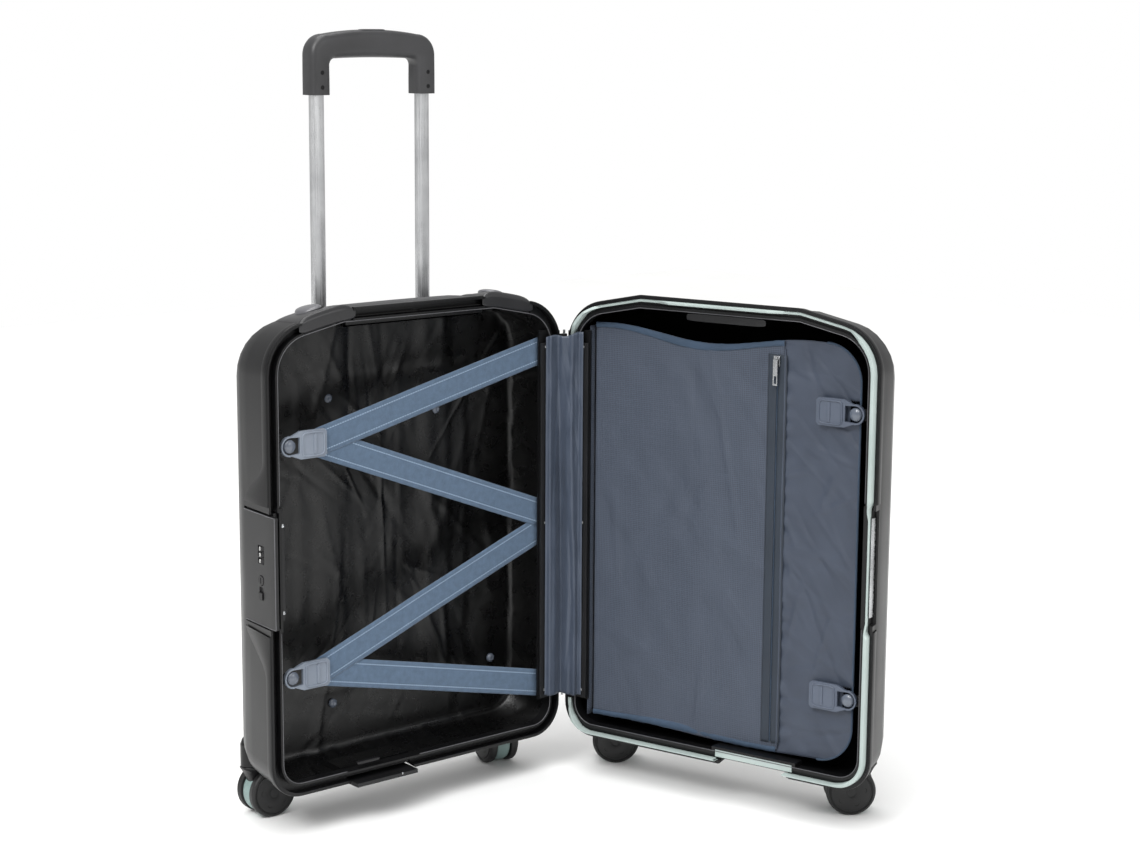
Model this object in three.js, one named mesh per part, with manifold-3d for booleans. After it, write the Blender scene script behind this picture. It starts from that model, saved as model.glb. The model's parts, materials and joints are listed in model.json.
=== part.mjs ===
// Cabin-size hard-shell suitcase on four twin-wheel casters: two moulded polypropylene half shells joined
// by a vertical hinge, shown standing on its wheels with the front half swung open and the trolley pulled out.
//
// Units are millimetres, +Z is up. Every piece is laid out in "case" coordinates: x runs across the case
// (free, lockable side at -x, hinge side at +x), y = 0 is the parting plane of the closed case, the rear
// half lies at y > 0 and the front half at y < 0. The front half and all it carries sit in a group that is
// turned about the hinge axis. The whole is then moved so that the origin is on the floor, at the middle of
// the ground plan.
import * as THREE from "three";
import { mergeVertices } from "three/addons/utils/BufferGeometryUtils.js";
import Module from "manifold-3d";

const wasm = await Module();
wasm.setup();

// ---- driving dimensions --------------------------------------------------------------------------------
const ORIGIN_SHIFT = new THREE.Vector3(-91.27, 131.27, 0); // case coordinates -> part frame
const OPEN_ANGLE = THREE.MathUtils.degToRad(105); // front half turned open from closed

const SHELL_HALF_WIDTH = 190;
const SHELL_BOTTOM = 46;
const SHELL_TOP = 545;
const TOP_FLAT_HALF = 97; // the top edge is level between +-this, and falls away towards both corners
const SHOULDER_ANGLE = THREE.MathUtils.degToRad(11.5);
const CORNER_TOP = 52;
const CORNER_BOTTOM = 36;
const CORNER_STEPS = 6;
const WALL = 3;
const DRAFT = 4; // how far the side walls lean in before the back edge rounding starts
const REAR = { depth: 104, round: 60 };
const FRONT = { depth: 94, round: 70 };
const PARTING_GAP = 0.4; // each rim stops this far short of the parting plane

const RIM_DEPTH = 14;
const RIM_INSET = 12.4;
const GROOVE = { from: 2.4, to: 10.2, depth: 9 };
const TONGUE = { from: 3.3, to: 9.1, back: 3.6, height: 6.4 };

const HINGE_X = 194.5;
const HINGE_BOTTOM = 88;
const HINGE_TOP = 500;
const GUSSET_TOP = 488;
const KNUCKLE_RADIUS = 3.5;
const PIN_RADIUS = 1.4;
const HINGE_STATIONS = [110, 294, 478];
const KNUCKLE_LENGTH = 12;
const SHELF = { from: 163, y: 5, thickness: 2.6 }; // ledge along the hinge side that carries the gusset

const TUBE_X = 67.5;
const TUBE_Y = 88;
const GUIDE = { width: 25.4, depth: 15.6, wall: 1.3, bottom: 109.6, top: 461.4 };
const MID = { width: 21.6, depth: 12, wall: 1.1, bottom: 116, top: 468.8 };
const INNER = { width: 16.8, depth: 8.8, wall: 1, bottom: 418, top: 774.5 };
const GRIP = { half: 79.5, leg: 24, bottom: 756, top: 823, bar: 29, front: 75.8, back: 100, crown: 5 };
const FOOT = { bottom: 104, top: 127 }; // bracket under the guide tubes
const BEZEL = { half: 88, front: 73, bottom: 462, pocket: 469, recess: 506, proud: 1.2 };

const WELL = { half: 84, front: 14, back: 60, floor: 530 }; // recess under the carry handle
const CAP = { near: 86, far: 146, back: 64, rise: 6, skirt: 2.6 };

const LOCK = { bottom: 226, top: 346, back: 54, floor: -178, front: 11, frontFloor: -184 };
const LEVER = { bottom: 228.2, top: 343.8, pivotX: -185.2, pivotY: 50.5, lip: -10 };
const DIAL = { radius: 5.6, width: 4.6, x: -184.4, y: 18, zs: [308, 301.6, 295.2] };
const KEY = { radius: 5, y: 18, z: 275 };
const LOCK_BUTTON = { y: 18, z: 255.5, height: 7, width: 7, travel: 5 };
const LATCH = { from: -92, to: -14, pivotY: 32, back: 37, lip: -9, top: 47.6, pivotZ: 47.2 };
const STRIKER = { from: -100, to: -6, back: 2.9, link: 3.2, bottom: 52.8, top: 60.6 };

const LINING = { gap: 0.5, thickness: 1.1, front: 14.8, back: 71.5 };
const DIVIDER = { free: -162, hinge: 162.8, y: -15.2, thickness: 2.6, bottom: 67, top: 506, corner: 40 };
const DIVIDER_PIVOT = { x: 162.2, y: -16.5 };
const STRAP = { width: 30, thickness: 1.5, ys: [11.7, 13.5], tip: -136, end: 174 };
const STRAP_ENDS = [484, 290, 286, 98]; // heights at which the webbing is held at the hinge side
const BUCKLE_HEIGHTS = [410, 169];
const DIVIDER_BUCKLE_HEIGHTS = [441, 140];
const BUCKLE = { back: -114, waist: -146, half: 14.5, nose: 10.8, hole: 8.8, thickness: 3.6 };
const KNOB = { x: -159, radius: 7 };
const ZIP = { x: -65, bottom: 76, top: 494, slider: 488 };

const REAR_CASTER = { x: 160, y: 90 };
const FRONT_CASTER = { x: 150, y: -76 };
const CASTER = { trail: 18, wheel: 26.5, width: 10.4, plate: 16, stem: 4, top: 56.2 };
const BOSS = { radius: 11, bottom: 57, top: 88 };
const AXLE_RADIUS = 3;

// ---- materials -----------------------------------------------------------------------------------------
const finish = (color, roughness, metalness) => new THREE.MeshStandardMaterial({ color, roughness, metalness });
const SHELL_PLASTIC = finish(0x1d1d1f, 0.45, 0);
const TRIM_PLASTIC = finish(0x2c2c2e, 0.5, 0);
const SOFT_GRIP = finish(0x4a4a4c, 0.6, 0);
const GASKET_PLASTIC = finish(0xaab5b2, 0.45, 0);
const ALUMINIUM = finish(0xd6d7d8, 0.3, 1);
const STEEL = finish(0xb4b6b8, 0.25, 1);
const TYRE = finish(0x202021, 0.6, 0);
const LINING_CLOTH = finish(0x161617, 0.6, 0);
const DIVIDER_CLOTH = finish(0x4b5160, 0.85, 0);
const WEBBING = finish(0x65788f, 0.75, 0);
const BUCKLE_PLASTIC = finish(0x7d8794, 0.45, 0);

// ---- solids --------------------------------------------------------------------------------------------
const solid = (geometry) => {
  const bare = geometry.index ? geometry.toNonIndexed() : geometry.clone();
  bare.deleteAttribute("normal");
  bare.deleteAttribute("uv");
  const merged = mergeVertices(bare, 1e-4);
  const mesh = new wasm.Mesh({
    numProp: 3,
    vertProperties: merged.attributes.position.array,
    triVerts: new Uint32Array(merged.index.array),
  });
  return new wasm.Manifold(mesh);
};

const geometryOf = (manifold) => {
  const mesh = manifold.getMesh();
  const geometry = new THREE.BufferGeometry();
  geometry.setAttribute("position", new THREE.BufferAttribute(mesh.vertProperties, 3));
  geometry.setIndex(new THREE.BufferAttribute(mesh.triVerts, 1));
  const flat = geometry.toNonIndexed();
  flat.computeVertexNormals();
  return flat;
};

// A box from its lowest to its highest corner.
const box = (x0, x1, y0, y1, z0, z1) => {
  const geometry = new THREE.BoxGeometry(x1 - x0, y1 - y0, z1 - z0);
  return solid(geometry.translate((x0 + x1) / 2, (y0 + y1) / 2, (z0 + z1) / 2));
};

// A cylinder between two heights along one of the axes, at a point given by the other two coordinates.
const rod = (axis, radius, from, to, a, b, sides = 12) => {
  const geometry = new THREE.CylinderGeometry(radius, radius, to - from, sides);
  const middle = (from + to) / 2;
  if (axis === "x") return solid(geometry.rotateZ(Math.PI / 2).translate(middle, a, b));
  if (axis === "y") return solid(geometry.translate(a, middle, b));
  return solid(geometry.rotateX(Math.PI / 2).translate(a, b, middle));
};

// Joins closed rings of equally many points into one closed body with fanned end caps.
const loft = (rings) => {
  const count = rings[0].length;
  const positions = [];
  const triangle = (a, b, c) => positions.push(...a.toArray(), ...b.toArray(), ...c.toArray());
  for (let r = 0; r + 1 < rings.length; r++) {
    for (let i = 0; i < count; i++) {
      const j = (i + 1) % count;
      triangle(rings[r][i], rings[r][j], rings[r + 1][j]);
      triangle(rings[r][i], rings[r + 1][j], rings[r + 1][i]);
    }
  }
  const cap = (ring, flip) => {
    const centre = ring.reduce((sum, p) => sum.add(p), new THREE.Vector3()).divideScalar(count);
    for (let i = 0; i < count; i++) {
      const j = (i + 1) % count;
      if (flip) triangle(centre, ring[j], ring[i]);
      else triangle(centre, ring[i], ring[j]);
    }
  };
  cap(rings[0], true);
  cap(rings[rings.length - 1], false);
  const geometry = new THREE.BufferGeometry();
  geometry.setAttribute("position", new THREE.Float32BufferAttribute(positions, 3));
  const made = solid(geometry);
  if (made.volume() > 0) return made;
  return loft(rings.map((ring) => [...ring].reverse()));
};

// An outline of [a, b] points carried straight along an axis: "x" takes (y, z), "y" takes (x, z), "z" (x, y).
const prism = (axis, points, from, to) => {
  const place = {
    x: (a, b, t) => new THREE.Vector3(t, a, b),
    y: (a, b, t) => new THREE.Vector3(a, t, b),
    z: (a, b, t) => new THREE.Vector3(a, b, t),
  }[axis];
  const shape = new THREE.Shape(points.map(([a, b]) => new THREE.Vector2(a, b)));
  const geometry = new THREE.ExtrudeGeometry(shape, { depth: to - from, bevelEnabled: false });
  const at = geometry.attributes.position;
  for (let i = 0; i < at.count; i++) {
    const p = place(at.getX(i), at.getY(i), from + at.getZ(i));
    at.setXYZ(i, p.x, p.y, p.z);
  }
  if (axis === "y") for (let i = 0; i < at.count; i += 3) swapCorners(at, i);
  return solid(geometry);
};

const swapCorners = (at, i) => {
  const first = [at.getX(i), at.getY(i), at.getZ(i)];
  at.setXYZ(i, at.getX(i + 1), at.getY(i + 1), at.getZ(i + 1));
  at.setXYZ(i + 1, ...first);
};

// Points of a rectangle with rounded corners, centred on (a, b).
const roundedOutline = (a, b, width, height, radius, steps = 2) => {
  const points = [];
  const corners = [[1, 1], [-1, 1], [-1, -1], [1, -1]];
  corners.forEach(([sideA, sideB], quarter) => {
    for (let i = 0; i <= steps; i++) {
      const angle = (quarter + i / steps) * (Math.PI / 2);
      const centreA = a + sideA * (width / 2 - radius);
      const centreB = b + sideB * (height / 2 - radius);
      points.push([centreA + radius * Math.cos(angle), centreB + radius * Math.sin(angle)]);
    }
  });
  return points;
};

// ---- the case outline ----------------------------------------------------------------------------------
// The case seen from the front, drawn in by `inset`: level top, falling shoulders, round corners.
const caseRing = (inset, y, cornerLoss = inset) => {
  const half = SHELL_HALF_WIDTH - inset;
  const low = SHELL_BOTTOM + inset;
  const high = SHELL_TOP - inset;
  const top = Math.max(CORNER_TOP - cornerLoss, 4);
  const bottom = Math.max(CORNER_BOTTOM - cornerLoss, 4);
  const shoulderX = half - top + top * Math.sin(SHOULDER_ANGLE);
  const flat = Math.min(TOP_FLAT_HALF, shoulderX - 4);
  const shoulderZ = high - (shoulderX - flat) * Math.tan(SHOULDER_ANGLE);
  const topCentre = shoulderZ - top * Math.cos(SHOULDER_ANGLE);
  const right = [];
  for (let i = 0; i <= CORNER_STEPS; i++) {
    const angle = -Math.PI / 2 + (i / CORNER_STEPS) * (Math.PI / 2);
    right.push([half - bottom + bottom * Math.cos(angle), low + bottom + bottom * Math.sin(angle)]);
  }
  for (let i = 0; i <= CORNER_STEPS; i++) {
    const angle = (i / CORNER_STEPS) * (Math.PI / 2 - SHOULDER_ANGLE);
    right.push([half - top + top * Math.cos(angle), topCentre + top * Math.sin(angle)]);
  }
  right.push([flat, high]);
  const left = right.map(([x, z]) => [-x, z]).reverse();
  return [...right, ...left].map(([x, z]) => new THREE.Vector3(x, y, z));
};

// How far a half shell's outer skin lies inside its rim outline at some depth from the parting plane.
const skinInset = (half, depth) => {
  const straight = half.depth - half.round;
  if (depth <= straight) return (DRAFT * Math.max(depth, 0)) / straight;
  const share = Math.min((depth - straight) / half.round, 1);
  return DRAFT + (half.round - DRAFT) * (1 - Math.sqrt(1 - share * share));
};

const skinDepths = (half, from, to, steps = 6) => {
  const straight = half.depth - half.round;
  const depths = from < straight ? [from, straight] : [from];
  for (let i = 1; i <= steps; i++) {
    const depth = straight + half.round * Math.sin((i / steps) * (Math.PI / 2));
    if (depth > from && depth < to) depths.push(depth);
  }
  depths.push(to);
  return depths.filter((d, i) => d <= to && (i === 0 || d > depths[i - 1]));
};

// The space inside a half shell's skin, drawn in by `offset`, between two depths. `side` is +1 rear, -1 front.
const skinSolid = (half, side, offset, from, to) => {
  const rings = skinDepths(half, from, to).map((depth) => {
    const inset = skinInset(half, depth + (depth > half.depth - half.round ? offset : 0));
    return caseRing(inset + offset, side * depth, offset + inset * 0.2);
  });
  return loft(rings);
};

const outlineSolid = (inset, side, from, to) => loft([caseRing(inset, side * from), caseRing(inset, side * to)]);

const ringSolid = (outer, inner, side, from, to) =>
  outlineSolid(outer, side, from, to).subtract(outlineSolid(inner, side, from - 1, to + 1));

// ---- half shells ---------------------------------------------------------------------------------------
const lathe = (profile, segments) => {
  const points = profile.map(([radius, along]) => new THREE.Vector2(radius, along));
  const made = solid(new THREE.LatheGeometry(points, segments));
  return made.volume() > 0 ? made : solid(new THREE.LatheGeometry(points.reverse(), segments));
};

// Round housing that takes a caster's stem, standing up inside a bottom corner.
const casterBoss = (x, y, grow) => {
  const radius = BOSS.radius + grow;
  const top = BOSS.top + grow;
  const profile = [[0, BOSS.bottom], [radius, BOSS.bottom], [radius, top - 8], [radius * 0.8, top - 2], [0, top]];
  return lathe(profile, 20).rotate([90, 0, 0]).translate([x, y, 0]);
};

const stemHole = (x, y) => rod("z", CASTER.stem + 0.4, 40, 75, x, y);

const shellBlank = (half, side, caster) => {
  let space = outlineSolid(RIM_INSET, side, -1, RIM_DEPTH + 0.1);
  space = space.add(skinSolid(half, side, WALL, RIM_DEPTH, half.depth - WALL));
  let body = skinSolid(half, side, 0, PARTING_GAP, half.depth);
  for (const x of [-caster.x, caster.x]) {
    const boss = casterBoss(x, caster.y, 0);
    space = space.subtract(boss);
    body = body.add(boss);
  }
  return { body, space };
};

const shelf = (side) => {
  const ys = [side * SHELF.y, side * (SHELF.y + SHELF.thickness)].sort((a, b) => a - b);
  return box(SHELF.from, 180, ...ys, HINGE_BOTTOM - 2, HINGE_TOP + 2);
};

const between = (side, near, far) => [side * near, side * far].sort((a, b) => a - b);

// Everything inside the rear half that the lining has to go round, grown by a margin.
const rearObstacles = (grow) => {
  const { from, to } = LATCH;
  const lock = box(-210, LOCK.floor + 3 + grow, -2, LOCK.back + 4 + grow, LOCK.bottom - 4 - grow, LOCK.top + 4 + grow);
  const latch = box(from - 5 - grow, to + 5 + grow, -2, LATCH.back + 7 + grow, 20, 57 + grow);
  const half = WELL.half + 4 + grow;
  const well = box(-half, half, WELL.front - 4 - grow, WELL.back + 4 + grow, WELL.floor - 3 - grow, 580);
  return lock.add(latch).add(well);
};

const rearShell = () => {
  const blank = shellBlank(REAR, 1, REAR_CASTER);
  let body = blank.body.subtract(blank.space.subtract(rearObstacles(0))).add(shelf(1));
  body = body.subtract(ringSolid(GROOVE.from, GROOVE.to, 1, -1, GROOVE.depth));
  for (const side of [-1, 1]) {
    body = body.subtract(box(...between(side, CAP.near - 1, CAP.far + 1), -1, CAP.skirt + 0.7, 500, 560));
    body = body.subtract(stemHole(side * REAR_CASTER.x, REAR_CASTER.y));
  }
  body = body.subtract(box(-WELL.half, WELL.half, WELL.front, WELL.back, WELL.floor, 560));
  body = body.subtract(box(-200, LOCK.floor, -1, LOCK.back, LOCK.bottom, LOCK.top));
  body = body.subtract(box(LATCH.from - 2, LATCH.to + 2, -1, LATCH.back + 3.5, 30, 52.5));
  const half = BEZEL.half + 0.4;
  return body.subtract(box(-half, half, BEZEL.front - 0.4, 120, BEZEL.bottom - 0.4, 560));
};

const frontShell = () => {
  const blank = shellBlank(FRONT, -1, FRONT_CASTER);
  let space = blank.space.subtract(box(-200, -176, -LOCK.front - 4, 2, LOCK.bottom - 4, LOCK.top + 4));
  space = space.subtract(box(STRIKER.from - 4, STRIKER.to + 4, -16, 2, 40, STRIKER.top + 3));
  let body = blank.body.subtract(space);
  const slot = ringSolid(TONGUE.from - 0.3, TONGUE.to + 0.3, -1, -1, TONGUE.back + 0.3);
  body = body.subtract(slot.subtract(box(150, 200, -20, 20, 85.4, 479.6)));
  body = body.add(shelf(-1));
  for (const side of [-1, 1]) body = body.subtract(stemHole(side * FRONT_CASTER.x, FRONT_CASTER.y));
  body = body.subtract(box(-200, LOCK.frontFloor, -LOCK.front - 0.5, 1, LOCK.bottom, LOCK.top));
  body = body.subtract(box(STRIKER.from - 0.4, STRIKER.to + 0.4, -STRIKER.back, 1, 51, STRIKER.top + 0.4));
  return body.subtract(box(LATCH.from - 2, LATCH.to + 2, -12, 1, 30, 52.5));
};

// Grey-green sealing strip in the front rim: a flat back in the slot, and a tongue that enters the rear
// groove when the case is shut. It is flush at the caps, the lock, the bottom latch and next to the hinge.
const gasket = () => {
  const strip = ringSolid(TONGUE.from, TONGUE.to, -1, 0.4, TONGUE.back);
  let tongue = ringSolid(TONGUE.from, TONGUE.to, 1, -0.5, TONGUE.height);
  for (const side of [-1, 1]) {
    tongue = tongue.subtract(box(...between(side, CAP.near - 4, CAP.far + 4), -2, 20, 500, 560));
  }
  tongue = tongue.subtract(box(-200, -170, -2, 20, LOCK.bottom - 5, LOCK.top + 5));
  tongue = tongue.subtract(box(150, 200, -2, 20, HINGE_BOTTOM - 22, HINGE_TOP));
  let whole = strip.add(tongue);
  whole = whole.subtract(box(STRIKER.from - 0.8, STRIKER.to + 0.8, -STRIKER.link, 20, 40, 70));
  whole = whole.subtract(box(LATCH.from - 2.5, LATCH.to + 2.5, -20, 20, 40, 52.9));
  whole = whole.subtract(box(-200, LOCK.frontFloor + 0.4, -20, 20, LOCK.bottom - 1, LOCK.top + 1));
  return whole.subtract(box(150, 200, -20, 20, 85, 480));
};

// ---- hinge ---------------------------------------------------------------------------------------------
const hingeLeaf = (side, knuckles) => {
  let leaf = box(189.9, 191.6, ...between(side, 3.9, 13), HINGE_BOTTOM, HINGE_TOP);
  for (const [from, to] of knuckles) {
    leaf = leaf.add(rod("z", KNUCKLE_RADIUS, from, to, HINGE_X, 0, 12));
    leaf = leaf.add(box(190.4, HINGE_X, ...between(side, 0.8, 3), from, to));
    leaf = leaf.add(box(190.4, 191.6, ...between(side, 0.8, 5), from, to));
  }
  return leaf.subtract(rod("z", PIN_RADIUS + 0.5, 0, 600, HINGE_X, 0, 8));
};

const rearKnuckles = HINGE_STATIONS.flatMap((z) => [
  [z - 1.5 * KNUCKLE_LENGTH - 0.5, z - 0.5 * KNUCKLE_LENGTH - 0.5],
  [z + 0.5 * KNUCKLE_LENGTH + 0.5, z + 1.5 * KNUCKLE_LENGTH + 0.5],
]);
const frontKnuckles = HINGE_STATIONS.map((z) => [z - 0.5 * KNUCKLE_LENGTH, z + 0.5 * KNUCKLE_LENGTH]);
const hingePin = () => rod("z", PIN_RADIUS, HINGE_BOTTOM - 1, HINGE_TOP + 1, HINGE_X, 0, 8);

const gussetStrip = (side) => box(164, 176.5, ...between(side, 1.4, SHELF.y - 0.4), HINGE_BOTTOM, GUSSET_TOP);

// The cloth gusset with the case open: a band in front of the two strips, from one to the other.
const hingeGusset = () => {
  const from = new THREE.Vector2(169, 0.4);
  const axis = new THREE.Vector2(HINGE_X, 0);
  const to = new THREE.Vector2(169, -0.4).rotateAround(axis, OPEN_ANGLE);
  const across = to.clone().sub(from).normalize();
  const thick = new THREE.Vector2(across.y, -across.x).multiplyScalar(1.2);
  const corners = [from, from.clone().add(thick), to.clone().add(thick), to];
  return prism("z", corners.map((p) => [p.x, p.y]), HINGE_BOTTOM + 3, HINGE_TOP - 3);
};

// ---- carry handle --------------------------------------------------------------------------------------
const handleBase = (side) => {
  const over = skinSolid(REAR, 1, -CAP.rise, PARTING_GAP + 0.3, CAP.back);
  const under = skinSolid(REAR, 1, -0.4, -1, CAP.back + 1);
  const pad = over.subtract(under);
  const skirt = over.subtract(outlineSolid(RIM_INSET, 1, -1, 20)).intersect(box(-200, 200, 0, CAP.skirt, 0, 600));
  return pad.add(skirt).intersect(box(...between(side, CAP.near, CAP.far), 0, 100, 500, 600));
};

const carryHandle = () => {
  const points = [[-82.5, 539], [-60, 537.4], [60, 537.4], [82.5, 539]];
  const above = points.map(([x, z]) => [x, 2 * 540.8 - z - 0.6]).reverse();
  return prism("y", [...points, ...above], 24, 50);
};

// ---- trolley -------------------------------------------------------------------------------------------
const ovalRod = (x, width, depth, bottom, top) =>
  prism("z", roundedOutline(x, TUBE_Y, width, depth, depth / 2 - 0.2, 3), bottom, top);

const ovalTube = (x, { width, depth, wall, bottom, top }) =>
  ovalRod(x, width, depth, bottom, top).subtract(ovalRod(x, width - 2 * wall, depth - 2 * wall, 0, 900));

// Bracket that carries the lower ends of both guide tubes on the back wall.
const trolleyFoot = () => {
  let foot = box(-TUBE_X, TUBE_X, TUBE_Y - 4, TUBE_Y + 4, FOOT.bottom, FOOT.bottom + 5);
  for (const x of [-TUBE_X, TUBE_X]) {
    foot = foot.add(ovalRod(x, GUIDE.width + 5, GUIDE.depth + 4, FOOT.bottom, FOOT.top));
    foot = foot.add(box(x - 9, x + 9, TUBE_Y + 4, 100.6, FOOT.bottom + 6, FOOT.top - 3));
    foot = foot.subtract(ovalRod(x, GUIDE.width + 0.8, GUIDE.depth + 0.8, GUIDE.bottom - 0.4, FOOT.top + 5));
  }
  return foot;
};

// Housing in the top edge of the rear half, with a recess in which the retracted grip lies flush.
const trolleyBezel = () => {
  let body = skinSolid(REAR, 1, -BEZEL.proud, 50, REAR.depth + 1);
  body = body.intersect(box(-BEZEL.half, BEZEL.half, BEZEL.front, 110, BEZEL.bottom, 560));
  const ys = [GRIP.front - 1, GRIP.back + 1.2];
  body = body.subtract(box(-GRIP.half - 1.2, GRIP.half + 1.2, ...ys, BEZEL.recess, 600));
  const clear = GRIP.half - GRIP.leg;
  for (const side of [-1, 1]) {
    body = body.subtract(box(...between(side, clear - 11, clear + 2), ...ys, BEZEL.recess - 10, 600));
  }
  for (const x of [-TUBE_X, TUBE_X]) {
    body = body.subtract(box(x - GRIP.leg / 2 - 1.2, x + GRIP.leg / 2 + 1.2, ...ys, BEZEL.pocket, 600));
    body = body.subtract(ovalRod(x, MID.width + 0.9, MID.depth + 0.9, 400, 600));
  }
  return body;
};

const gripSection = (x) => {
  const ends = Math.max(0, Math.abs(x) - GRIP.half + 6);
  const top = GRIP.top - GRIP.crown * (x / GRIP.half) ** 2 - ends * 0.6;
  const front = GRIP.front + ends * 0.3;
  const back = GRIP.back - ends * 0.3;
  const radius = 22;
  const points = [[front, GRIP.bottom], [back, GRIP.bottom]];
  for (let i = 0; i <= 5; i++) {
    const angle = (i / 5) * (Math.PI / 2);
    points.push([back - radius + radius * Math.cos(angle), top - radius + radius * Math.sin(angle)]);
  }
  points.push([front, top - 1.5]);
  return points.map(([y, z]) => new THREE.Vector3(x, y, z));
};

const grip = () => {
  const stations = [-GRIP.half, -GRIP.half + 6, -45, 0, 45, GRIP.half - 6, GRIP.half];
  let body = loft(stations.map(gripSection));
  const clear = GRIP.half - GRIP.leg;
  const opening = roundedOutline(0, GRIP.top - GRIP.bar - 50, clear * 2, 100, 9, 3);
  body = body.subtract(prism("y", opening, 60, 120));
  for (const x of [-TUBE_X, TUBE_X]) {
    body = body.subtract(ovalRod(x, INNER.width + 0.8, INNER.depth + 0.8, 700, INNER.top + 0.5));
  }
  return body.subtract(prism("z", roundedOutline(0, 84, 33, 9, 4, 3), GRIP.top - 6, 900));
};

const pushButton = () => prism("z", roundedOutline(0, 84, 32, 8, 3.6, 3), GRIP.top - 2, GRIP.top + 1.4);

// ---- side lock and bottom latch ------------------------------------------------------------------------
const lockBase = () => {
  let base = box(-182.6, LOCK.floor - 0.4, 4, LOCK.back - 1, LOCK.bottom + 0.6, LOCK.top - 0.6);
  const reach = DIAL.radius + 1;
  base = base.subtract(box(-190, -170, DIAL.y - reach, DIAL.y + reach, DIAL.zs[2] - 4, DIAL.zs[0] + 4));
  return base.subtract(rod("x", KEY.radius + 0.6, -200, -179.8, KEY.y, KEY.z, 16));
};

const lockLever = () => {
  const outside = [[-190.5, LEVER.lip], [-190.5, 0], [-188, 30], [-186.9, 46], [-186, 53]];
  const inside = [[-184.4, 53], [-183.6, 48], [-183.4, 30], [-183.4, 2], [-186.2, 0], [-186.2, LEVER.lip]];
  let lever = prism("z", [...outside, ...inside], LEVER.bottom, LEVER.top);
  const reach = DIAL.radius + 0.6;
  for (const z of DIAL.zs) {
    const half = DIAL.width / 2 + 0.4;
    lever = lever.subtract(box(-200, -170, DIAL.y - reach, DIAL.y + reach, z - half, z + half));
  }
  lever = lever.subtract(rod("x", KEY.radius + 0.35, -200, -170, KEY.y, KEY.z, 16));
  const high = LOCK_BUTTON.z + LOCK_BUTTON.height + LOCK_BUTTON.travel + 0.5;
  const side = LOCK_BUTTON.width / 2 + 0.5;
  return lever.subtract(box(-200, -187, LOCK_BUTTON.y - side, LOCK_BUTTON.y + side, LOCK_BUTTON.z - 0.5, high));
};

const dial = (z) => rod("z", DIAL.radius, z - DIAL.width / 2, z + DIAL.width / 2, DIAL.x, DIAL.y, 20);

const keyCylinder = () => {
  const plug = rod("x", KEY.radius, -189.8, -181, KEY.y, KEY.z, 16);
  return plug.subtract(box(-200, -187.5, KEY.y - 0.5, KEY.y + 0.5, KEY.z - 3, KEY.z + 3));
};

const lockButton = () => {
  const half = LOCK_BUTTON.width / 2;
  const top = LOCK_BUTTON.z + LOCK_BUTTON.height;
  return box(-190.6, -187.4, LOCK_BUTTON.y - half, LOCK_BUTTON.y + half, LOCK_BUTTON.z, top);
};

const lockStriker = () => box(-185.6, LOCK.frontFloor - 0.3, -9.5, -2, LOCK.bottom + 8, LOCK.top - 8);

const bottomLatch = () => {
  const outline = [[LATCH.lip, 42.4], [26, 42.4], [LATCH.back, 45], [LATCH.back, 49.4], [26, 49.4],
    [24, LATCH.top], [LATCH.lip, 46.6]];
  const lever = prism("x", outline, LATCH.from, LATCH.to);
  return lever.subtract(rod("x", 1.5, -200, 200, LATCH.pivotY, LATCH.pivotZ));
};

const latchBracket = () => {
  let bracket = box(LATCH.from - 1.6, LATCH.to + 1.6, 10, 22, 49.6, 52.1);
  for (const [from, to] of [[LATCH.from - 1.6, LATCH.from - 0.4], [LATCH.to + 0.4, LATCH.to + 1.6]]) {
    bracket = bracket.add(box(from, to, 18, 36, 44.6, 52.1));
  }
  return bracket.add(rod("x", 1.1, LATCH.from - 1, LATCH.to + 1, LATCH.pivotY, LATCH.pivotZ, 10));
};

const bottomStriker = () =>
  box(STRIKER.from, STRIKER.to, 0.4 - STRIKER.back, -0.6, STRIKER.bottom, STRIKER.top);

// ---- interior ------------------------------------------------------------------------------------------
// Loose cloth lining of the rear half: a thin tray that follows the walls, spans the back in front of the
// trolley's guide tubes, and bulges over the lock, the latch and the handle well.
const rearLining = () => {
  const { gap, thickness, front, back } = LINING;
  const outer = skinSolid(REAR, 1, WALL + gap, front, back).subtract(rearObstacles(gap));
  const cavity = skinSolid(REAR, 1, WALL + gap + thickness, front - 1, back - thickness);
  return outer.subtract(cavity.subtract(rearObstacles(gap + thickness)));
};

// A flat length of webbing between two points of a plane parallel to the parting plane.
const webbingLeg = ([x0, z0], [x1, z1], y) => {
  const along = new THREE.Vector2(x1 - x0, z1 - z0).normalize().multiplyScalar(STRAP.width / 2);
  const corners = [[x0 - along.y, z0 + along.x], [x0 + along.y, z0 - along.x], [x1 + along.y, z1 - along.x],
    [x1 - along.y, z1 + along.x]];
  return prism("y", corners, y, y + STRAP.thickness);
};

const strap = (upperEnd, buckleZ, lowerEnd, y) => {
  const tip = [STRAP.tip, buckleZ];
  const legs = webbingLeg([190, upperEnd], tip, y).add(webbingLeg([190, lowerEnd], tip, y));
  return legs.intersect(box(STRAP.tip - 6, STRAP.end, 0, 40, HINGE_BOTTOM - 6, HINGE_TOP + 6));
};

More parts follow.
